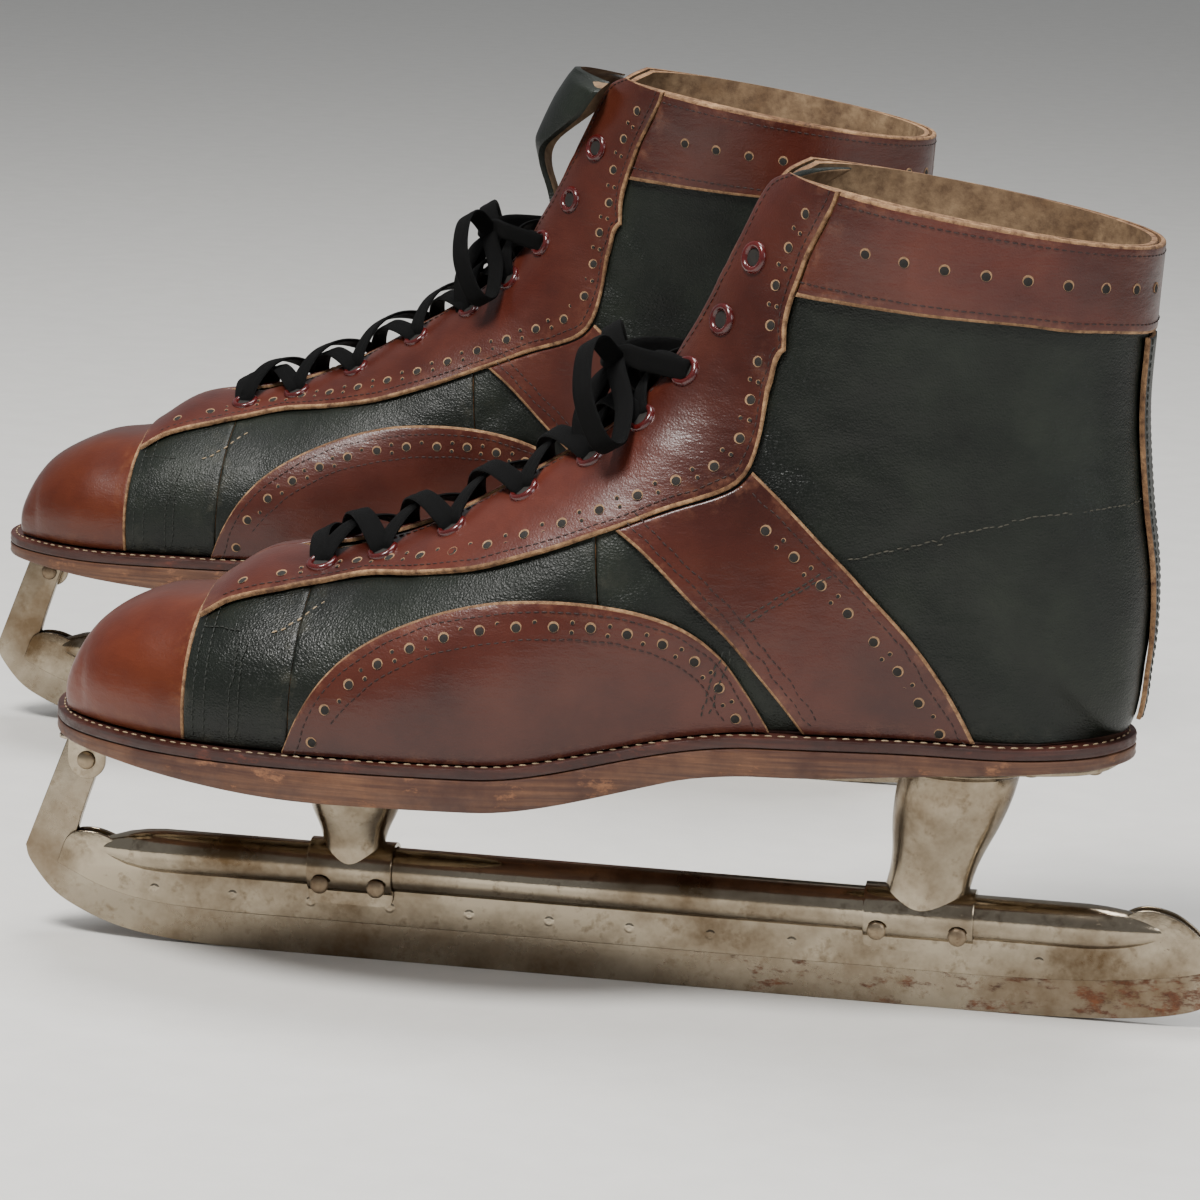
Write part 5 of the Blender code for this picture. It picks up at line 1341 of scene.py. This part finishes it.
def outlinePlate(part, outline, yLow, yHigh, chamfer):
    # Flat plate across y from a side-view outline, its edges rounded over.
    curve = bpy.data.curves.new("plateOutline", "CURVE")
    curve.dimensions, curve.fill_mode = "2D", "BOTH"
    curve.extrude = (yHigh - yLow) / 2 - chamfer
    curve.bevel_depth, curve.bevel_resolution = chamfer, 2
    curve.offset = -chamfer
    line = curve.splines.new("POLY")
    line.points.add(len(outline) - 1)
    for point, (x, z) in zip(line.points, outline):
        point.co = (x, z, 0, 1)
    line.use_cyclic_u = True
    drawn = bpy.data.objects.new("plateOutline", curve)
    bpy.context.scene.collection.objects.link(drawn)
    bpy.context.view_layer.update()
    flat = bpy.data.meshes.new_from_object(drawn.evaluated_get(bpy.context.evaluated_depsgraph_get()))
    verts = [(v.co.x, (yLow + yHigh) / 2 + v.co.z, v.co.y) for v in flat.vertices]
    part.add(verts, [list(p.vertices) for p in flat.polygons], 0)
    bpy.data.objects.remove(drawn, do_unlink=True)
    bpy.data.curves.remove(curve)
    bpy.data.meshes.remove(flat)


def smoothOutline(knots, sharp, count=8):
    # Closed side-view line: smooth runs between the sharp corners.
    points, run = [], [knots[0]]
    closed = list(knots) + [knots[0]]
    for k in range(1, len(closed)):
        run.append(closed[k])
        if k % len(knots) in sharp or k == len(closed) - 1:
            dense = spline(np.array(run), count) if len(run) > 2 else np.array(run, float)
            points += [tuple(p) for p in dense[:-1]]
            run = [closed[k]]
    return points


def bladeOutline():
    flush = steel["strip"] + 5.5 * mm
    armTop = float(soleBottom(10 * mm)) - steel["plate"] - 2 * steel["gap"] - 0.4 * mm
    knots = [(4.5 * mm, armTop)]
    knots += [(x * mm, z * mm) for x, z in (
        (-8, 25), (-6.5, 20.5), (0, 12.5), (8, 7.6), (18, 3.8), (29, 1.6), (42, 0.5), (58, 0), (262, 0),
        (288, 0.5),
        (306, 2.0), (318, 4.4), (324, 7.5), (326, 11.5), (325, 16))]
    knots += [(318 * mm, flush), (30 * mm, flush), (12 * mm, 22 * mm), (6.5 * mm, 28 * mm)]
    knots += [(4.5 * mm + 1.05 * steel["arm"], armTop)]
    return smoothOutline(knots, {0, 1, 8, 9, 16, 17, 20}, 7)


def flangeOutline():
    strip = steel["strip"] / mm
    knots = [(x * mm, z * mm) for x, z in (
        (1.5, 21), (14, 15.2), (28, strip + 1.4), (46, strip + 0.2), (64, strip), (262, strip),
        (288, strip + 0.8),
        (306, strip + 2.6), (320, strip + 5.2), (325.2, 18.5), (323, 23), (318, 28), (312, 31.4), (304, 32.2),
        (296, 28), (20, 28), (12, 30.5), (5, 29.2))]
    return smoothOutline(knots, {0, 4, 5, 14, 15}, 7)


def turned(part, profile, axisPoint, steps, axis="x"):
    # Closed turned body: profile of (place along the axis, radius), ending on the axis.
    angles = np.linspace(0, 2 * math.pi, steps, endpoint=False)
    verts, rings = [], []
    for along, radius in profile:
        if radius <= 0:
            ring = [len(verts)] * steps
            verts.append((along, 0, 0) if axis == "x" else (0, along, 0))
        else:
            ring = list(range(len(verts), len(verts) + steps))
            for a in angles:
                c, d = radius * math.cos(a), radius * math.sin(a)
                verts.append((along, c, d) if axis == "x" else (c, along, d))
        rings.append(ring)
    faces = []
    for low, high in zip(rings, rings[1:]):
        for k in range(steps):
            n = (k + 1) % steps
            face = withoutRepeats([low[k], low[n], high[n], high[k]])
            if len(face) > 2:
                faces.append(face)
    part.add(np.array(verts) + np.array(axisPoint), faces, 0)


def makeRunner(hand):
    half = steel["blade"] / 2
    part = Builder()
    outlinePlate(part, bladeOutline(), -half, half, 0.25 * mm)
    blade = part.finish("blade", hand, ["blade"])
    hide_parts(hand["prefix"] + "blade")
    part = Builder()
    r, z = steel["tube"], steel["centre"]
    profile = [(14, 0), (14, 0.30), (14.3, 0.40), (15.5, 0.47), (22, 0.80), (27, 0.94), (32, 1), (60, 1),
               (290, 1),
               (295, 0.95), (300, 0.85), (305, 0.68), (309, 0.5), (311.5, 0.34), (313, 0)]
    turned(part, [(x * mm, r * share) for x, share in profile], (0, 0, z), 64)
    sheet = steel["sheet"]
    gap = steel["gap"]
    for side in (-1, 1):
        low, high = sorted((side * (half + gap), side * (half + gap + sheet)))
        outlinePlate(part, flangeOutline(), low, high, 0.28 * mm)
    # A row of pressed dimples along each flange, where the sheets are spot-welded to the blade.
    for x in np.arange(30, 300, 22.5):
        for side in (-1, 1):
            face = side * (half + gap + sheet)
            ring = [(face, 0), (face + side * 0.22 * mm, 0.5 * mm), (face + side * 0.20 * mm, 1.0 * mm),
                    (face, 1.5 * mm), (face - side * 0.3 * mm, 1.5 * mm), (face - side * 0.3 * mm, 0)]
            turned(part, ring, (x * mm, 0, z - 10.4 * mm), 16, "y")
    tube = part.finish("tube", hand, ["nickel"])
    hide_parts(hand["prefix"] + "tube")


def ovalLoft(part, rings, sides=48):
    verts = []
    for x, z, rx, ry, power in rings:
        for k in range(sides):
            a = 2 * math.pi * k / sides
            c, d = math.cos(a), math.sin(a)
            verts.append((x + rx * math.copysign(abs(c) ** power, c), ry * math.copysign(abs(d) ** power, d),
                          z))
    part.add(verts, cappedFaces(len(rings), sides), 0)


def makePosts(hand):
    gap, saddle = steel["gap"], steel["saddle"]
    for node, size in posts.items():
        foot, lean = size["x"], size["lean"]
        reach = np.linspace(-1, 1, 21) * (size["top"] / 2 + 3 * mm)
        topZ = float(np.min(soleBottom(foot + lean + reach))) - steel["plate"] - 2 * gap
        wrap = steel["tube"] + gap + saddle
        height = topZ - steel["centre"]
        rings = []
        for share in np.linspace(0.0, 1.0, 15):
            flare = ramp(share, 0.22, 0.92)
            wide = size["foot"] + (size["top"] - size["foot"]) * flare
            deep = 2 * (wrap - 0.4 * mm) + (steel["postDepth"] - 2 * (wrap - 0.4 * mm)) * flare
            waist = 1 - 0.05 * math.sin(math.pi * min(1, share / 0.6))
            rings.append((foot + lean * share, steel["centre"] + (height - 2.6 * mm) * share,
                          0.5 * wide * waist,
                          0.5 * deep, 1.0))
        lipX, lipY = size["top"] / 2 + 3 * mm, steel["postDepth"] / 2 + 3 * mm
        for drop, grow in ((2.1, -2.4), (1.6, -1.4), (1.35, -0.5), (1.0, 0.0), (0.4, 0.0), (0.1, -0.15),
                           (0, -0.5)):
            rings.append((foot + lean, topZ - drop * mm, lipX + grow * mm, lipY + grow * mm, 1.0))
        part = Builder()
        ovalLoft(part, rings)
        # Saddle: a bent sheet over the tube with a leg down each side of the flange.
        inside = steel["blade"] / 2 + gap + steel["sheet"] + gap
        low = steel["centre"] - 10 * mm
        angle0 = math.asin(min(0.99, (inside + saddle) / wrap))
        bend = [(inside + saddle, low), (inside + saddle, low + 2 * mm),
                (inside + saddle, steel["centre"] - wrap * math.cos(angle0) - 0.2 * mm)]
        bend += [(wrap * math.sin(a),
                  steel["centre"] - wrap * math.cos(a)) for a in np.linspace(angle0, math.pi, 22)]
        outer = bend + [(-y, z) for y, z in bend[:-1][::-1]]
        thin = wrap - saddle
        angle1 = math.asin(min(0.99, inside / thin))
        innerLine = [(inside, low), (inside, low + 2 * mm),
                     (inside, steel["centre"] - thin * math.cos(angle1) - 0.2 * mm)]
        innerLine += [(thin * math.sin(a),
                       steel["centre"] - thin * math.cos(a)) for a in np.linspace(angle1, math.pi, 22)]
        innerLine = innerLine + [(-y, z) for y, z in innerLine[:-1][::-1]]
        half = size["foot"] / 2 + 3 * mm
        xs = foot + half * np.array([-1, -0.985, -0.96, -0.7, -0.35, 0, 0.35, 0.7, 0.96, 0.985, 1])
        tuck = np.array([0.25, 0.08, 0, 0, 0, 0, 0, 0, 0, 0.08, 0.25]) * mm
        cut = np.array([2.6, 1.5, 0.9, 0, 0, 0, 0, 0, 0.9, 1.5, 2.6]) * mm
        grids = []
        for line, sign in ((outer, 1), (innerLine, -1)):
            grid = np.zeros((len(xs), len(line), 3))
            for i, x in enumerate(xs):
                for j, (y, z) in enumerate(line):
                    pull = 1 - sign * tuck[i] / max(abs(y), wrap * 0.6)
                    grid[i, j] = (x, y * pull, max(z, low + cut[i]))
            grids.append(grid)
        plainShell(part, *grids)
        post = part.finish(node.split("_")[0] + "Post", hand, ["nickel"], smooth=42)
        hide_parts(hand["prefix"] + node)
        for label, x in (("fore", foot - half + 4 * mm), ("aft", foot + half - 4 * mm)):
            makeRivet(hand, node + "_rivet_" + label, x, steel["centre"] - 0.62 * steel["tube"], -wrap, wrap)


def makeRivet(hand, node, x, z, yLow, yHigh):
    head, gap = steel["head"], steel["gap"]
    dome = [(share, math.sqrt(max(0.0, 1 - share ** 2))) for share in (0.25, 0.5, 0.72, 0.88, 0.97)]
    profile = [(yLow - gap - 0.45 * head, 0)]
    profile += [(yLow - gap - 0.45 * head * up, head * share) for share, up in dome]
    profile += [(yLow - gap, head), (yLow - gap + 0.05 * mm, steel["rivet"]),
                (yHigh + gap - 0.05 * mm, steel["rivet"]),
                (yHigh + gap, head)]
    profile += [(yHigh + gap + 0.45 * head * up, head * share) for share, up in dome[::-1]]
    profile += [(yHigh + gap + 0.45 * head, 0)]
    part = Builder()
    turned(part, profile, (x, 0, z), 24, "y")
    words = node.split("_")
    rivet = part.finish(words[0] + "".join(word.title() for word in words[1:]), hand, ["rivet"])
    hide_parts(hand["prefix"] + node)


def makePlates(hand, marks):
    gap = steel["gap"]
    for node, start, end, front, back in (("toe_plate", 19, 124, 12, 27), ("heel_plate", 222, 296, 26, 25)):
        share = np.linspace(0, 1, 61)
        x = (start + (end - start) * share) * mm
        roundEnd = np.sqrt(np.clip(1 - np.abs(2 * share - 1) ** 4, 0.03, 1))
        half = (front + (back - front) * ramp(share, 0, 0.8)) * mm * roundEnd
        inner, outer = planEdges(x)
        half = np.minimum(half, 0.5 * (inner - outer) - 2 * mm)
        centre = 0.5 * (inner + outer) * 0.3
        t = np.linspace(-1, 1, 9)
        high = soleBottom(x) - gap
        grid = np.stack([np.repeat(x[:, None], 9, 1), centre[:, None] + half[:, None] * t,
                         np.repeat(high[:, None], 9, 1)], -1)
        below = grid - np.array([0, 0, steel["plate"]])
        part = Builder()
        plainShell(part, grid, below)
        name = "toePlate" if node == "toe_plate" else "heelPlate"
        plate = part.finish(name, hand, ["nickel"], bevel=(0.35 * mm, 2))
        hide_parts(hand["prefix"] + node)
        for at in (0.14, 0.42, 0.70, 0.92):
            k = int(at * 60)
            for side in (-1, 1):
                marks.spot("plateRivet", np.array([x[k], centre[k] + side * (half[k] - 4.5 * mm),
                                                   high[k] - steel["plate"]]),
                           np.array([0, 0, -1.0]), np.array([1.0, 0, 0]), 2.4 * mm)
    x = 10 * mm
    z = float(soleBottom(x)) - 9.5 * mm
    high = float(soleBottom(x)) - gap - 0.2 * mm
    face = -steel["blade"] / 2 - gap
    half = 5.4 * mm
    # Angle bracket: a foot under the sole and a round tab beside the arm, bent from one sheet.
    tab = [(x - half, high - 0.4 * mm)]
    tab += [(x + half * math.sin(a),
             z - half * math.cos(a)) for a in np.linspace(-math.pi / 2, math.pi / 2, 25)]
    tab += [(x + half, high - 0.4 * mm)]
    part = Builder()
    outlinePlate(part, tab, face - steel["plate"], face, 0.3 * mm)
    footLine = []
    for cx, cy, a0 in ((x + 5 * mm, 9 * mm, 0), (x - 4 * mm, 9 * mm, 90), (x - 4 * mm, -9 * mm, 180),
                       (x + 5 * mm, -9 * mm, 270)):
        footLine += [(cx + 2 * mm * math.cos(math.radians(a0 + a)),
                      cy + 2 * mm * math.sin(math.radians(a0 + a)))
                     for a in (0, 22, 45, 68, 90)]
    rings = []
    for z0, grow in ((high - steel["plate"], -0.3 * mm), (high - steel["plate"] + 0.3 * mm, 0),
                     (high - 0.3 * mm, 0), (high, -0.3 * mm)):
        middle = np.mean(footLine, axis=0)
        rings.append([(px + (grow if px > middle[0] else -grow), py + (grow if py > middle[1] else -grow), z0)
                      for px, py in footLine])
    verts = np.array(rings).reshape(-1, 3)
    part.add(verts, cappedFaces(len(rings), len(footLine)), 0)
    bracket = part.finish("toeBracket", hand, ["nickel"], weld=0)
    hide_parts(hand["prefix"] + "toe_bracket")
    makeRivet(hand, "toe_bracket_rivet", x, z, face - steel["plate"], steel["blade"] / 2)


def makeMarks(hand, marks):
    kinds = [("pale", "capThread", "threadPale"), ("dark", "panelThread", "threadDark"),
             ("black", "stayThread", "threadBlack"), ("scuff", "creaseRub", "scuffPale"),
             ("weltThread", "weltThread", "threadPale")]
    for kind, name, material in kinds:
        points, outward, ahead, _ = marks.gathered(kind)
        if kind == "scuff":
            points = points + rng.normal(0, 0.22 * mm, points.shape) * (1 - np.abs(outward))
        length = seams["stitchLength"] * (1.25 if kind == "weltThread" else 1.0)
        thick = seams["stitchThick"] * (1.2 if kind in ("weltThread", "pale") else 1.0)
        instanced(name, hand, points, outward, ahead, "stitches",
                  {"Length": length, "Thickness": thick, "Material": mats[material]})
    # Punched holes are not cut. Each is a pale rim in the raw-leather colour of the cut wall, with a dark disc
    # over it that is painted shade for the depth of the hole. The disc sits a little off centre, so the rim shows
    # only as a crescent on one side, a painted highlight on that wall.
    for kind in ("large", "small"):
        points, outward, ahead, size = marks.gathered(kind)
        values = {"Pattern": patterns["bowl"], "Material": mats["holeRim"]}
        instanced(kind + "HoleRims", hand, points, outward, ahead, "scatter", values, size)
        shift = np.cross(outward, ahead) * 0.22 * size[:, None]
        shift *= np.where(np.cross(outward, ahead)[:, 2:] < 0, 1, -1)
        values = {"Pattern": patterns["hole"], "Material": mats["holeDark"]}
        instanced(kind + "Holes", hand, points + shift + outward * 0.01 * mm, outward, ahead, "scatter", values,
                  size)
    points, outward, ahead, size = marks.gathered("eyelet")
    instanced("eyelets", hand, points, outward, ahead, "scatter",
              {"Pattern": patterns["ring"], "Material": mats["eyelet"]}, size)
    # The dark disc inside each eyelet ring is painted shade for the hole; no opening is cut.
    instanced("eyeletHoles", hand, points + outward * 0.02 * mm, outward, ahead, "scatter",
              {"Pattern": patterns["pit"], "Material": mats["holeDark"]}, size)
    points, outward, ahead, size = marks.gathered("plateRivet")
    instanced("plateRivets", hand, points, outward, ahead, "scatter",
              {"Pattern": patterns["dome"], "Material": mats["rivet"]}, size)


patterns["dome"] = lathePattern("domePattern",
                                [(0, -0.15), (1, -0.15), (1, 0.02), (0.9, 0.2), (0.65, 0.36), (0.35, 0.44),
                                                (0, 0.47)])

for hand in hands.values():
    marks = Marks()
    makeCap(hand)
    makeVamp(hand, marks)
    makeQuarters(hand, marks)
    makeFacings(hand, marks)
    makeWings(hand, marks)
    makeStraps(hand, marks)
    makeCollar(hand, marks)
    makeTongue(hand, hand["prefix"] == "right_")
    makeLaces(hand, marks)
    print(hand["prefix"] + "upper ready")
    makeSoles(hand, marks)
    makeRunner(hand)
    makePosts(hand)
    makePlates(hand, marks)
    makeMarks(hand, marks)
    print(hand["prefix"] + "skate ready")

for pattern in patterns.values():
    bpy.data.objects.remove(pattern, do_unlink=True)


studio = {"floor": 14.0, "target": (0.0372, -0.12, 0.1064), "azimuth": 9.94, "elevation": 12.0, "distance": 1.2,
          "lens": 132.6, "roll": 1.97}


def makeStage():
    mat, tree, shader = startMaterial("paleFloor")
    grain = noiseAt(tree, placedCoords(tree, (1, 1, 1)), 60, 4, 0.6)
    link(tree, rampOf(tree, grain, [(0.3, (0.66, 0.65, 0.62)), (0.7, (0.70, 0.69, 0.66))]),
         shader.inputs["Base Color"])
    shader.inputs["Roughness"].default_value = 0.7
    size = studio["floor"]
    verts = [(-size, -size, 0), (size, -size, 0), (size, size, 0), (-size, size, 0)]
    faces = [(0, 1, 2, 3)]
    mesh = bpy.data.meshes.new("floor")
    mesh.from_pydata(verts, [], faces)
    mesh.materials.append(mat)
    floor = bpy.data.objects.new("floor", mesh)
    bpy.context.scene.collection.objects.link(floor)


def areaLight(name, place, aim, size, power, colour):
    data = bpy.data.lights.new(name, "AREA")
    data.shape, data.size, data.energy, data.color = "DISK", size, power, colour
    light = bpy.data.objects.new(name, data)
    light.location = place
    light.rotation_euler = (Vector(aim) - Vector(place)).to_track_quat("-Z", "Y").to_euler()
    bpy.context.scene.collection.objects.link(light)


makeStage()
areaLight("key", (-0.35, -0.9, 1.7), (0, 0, 0.1), 0.6, 50, (1.0, 0.98, 0.95))
areaLight("fill", (1.4, -0.9, 0.9), (0, 0, 0.1), 0.9, 9, (0.95, 0.97, 1.0))
areaLight("overhead", (0.1, 0.3, 1.7), (0, 0, 0.1), 0.8, 22, (1.0, 1.0, 1.0))

world = bpy.data.worlds.new("studio")
bpy.context.scene.world = world
world.use_nodes = True
world.node_tree.nodes["Background"].inputs["Color"].default_value = (0.9, 0.92, 0.95, 1)
world.node_tree.nodes["Background"].inputs["Strength"].default_value = 0.32

camera = bpy.data.cameras.new("camera")
camera.lens, camera.sensor_width = studio["lens"], 36
camera.clip_start, camera.clip_end = 0.01, 20
view = bpy.data.objects.new("camera", camera)
azimuth, elevation = math.radians(studio["azimuth"]), math.radians(studio["elevation"])
target = Vector(studio["target"])
away = Vector((math.sin(azimuth) * math.cos(elevation), -math.cos(azimuth) * math.cos(elevation),
               math.sin(elevation)))
view.location = target + away * studio["distance"]
level = (target - view.location).to_track_quat("-Z", "Y")
view.rotation_euler = (level @ Quaternion((0, 0, 1), math.radians(studio["roll"]))).to_euler()
bpy.context.scene.collection.objects.link(view)
bpy.context.scene.camera = view

print("scene ready")
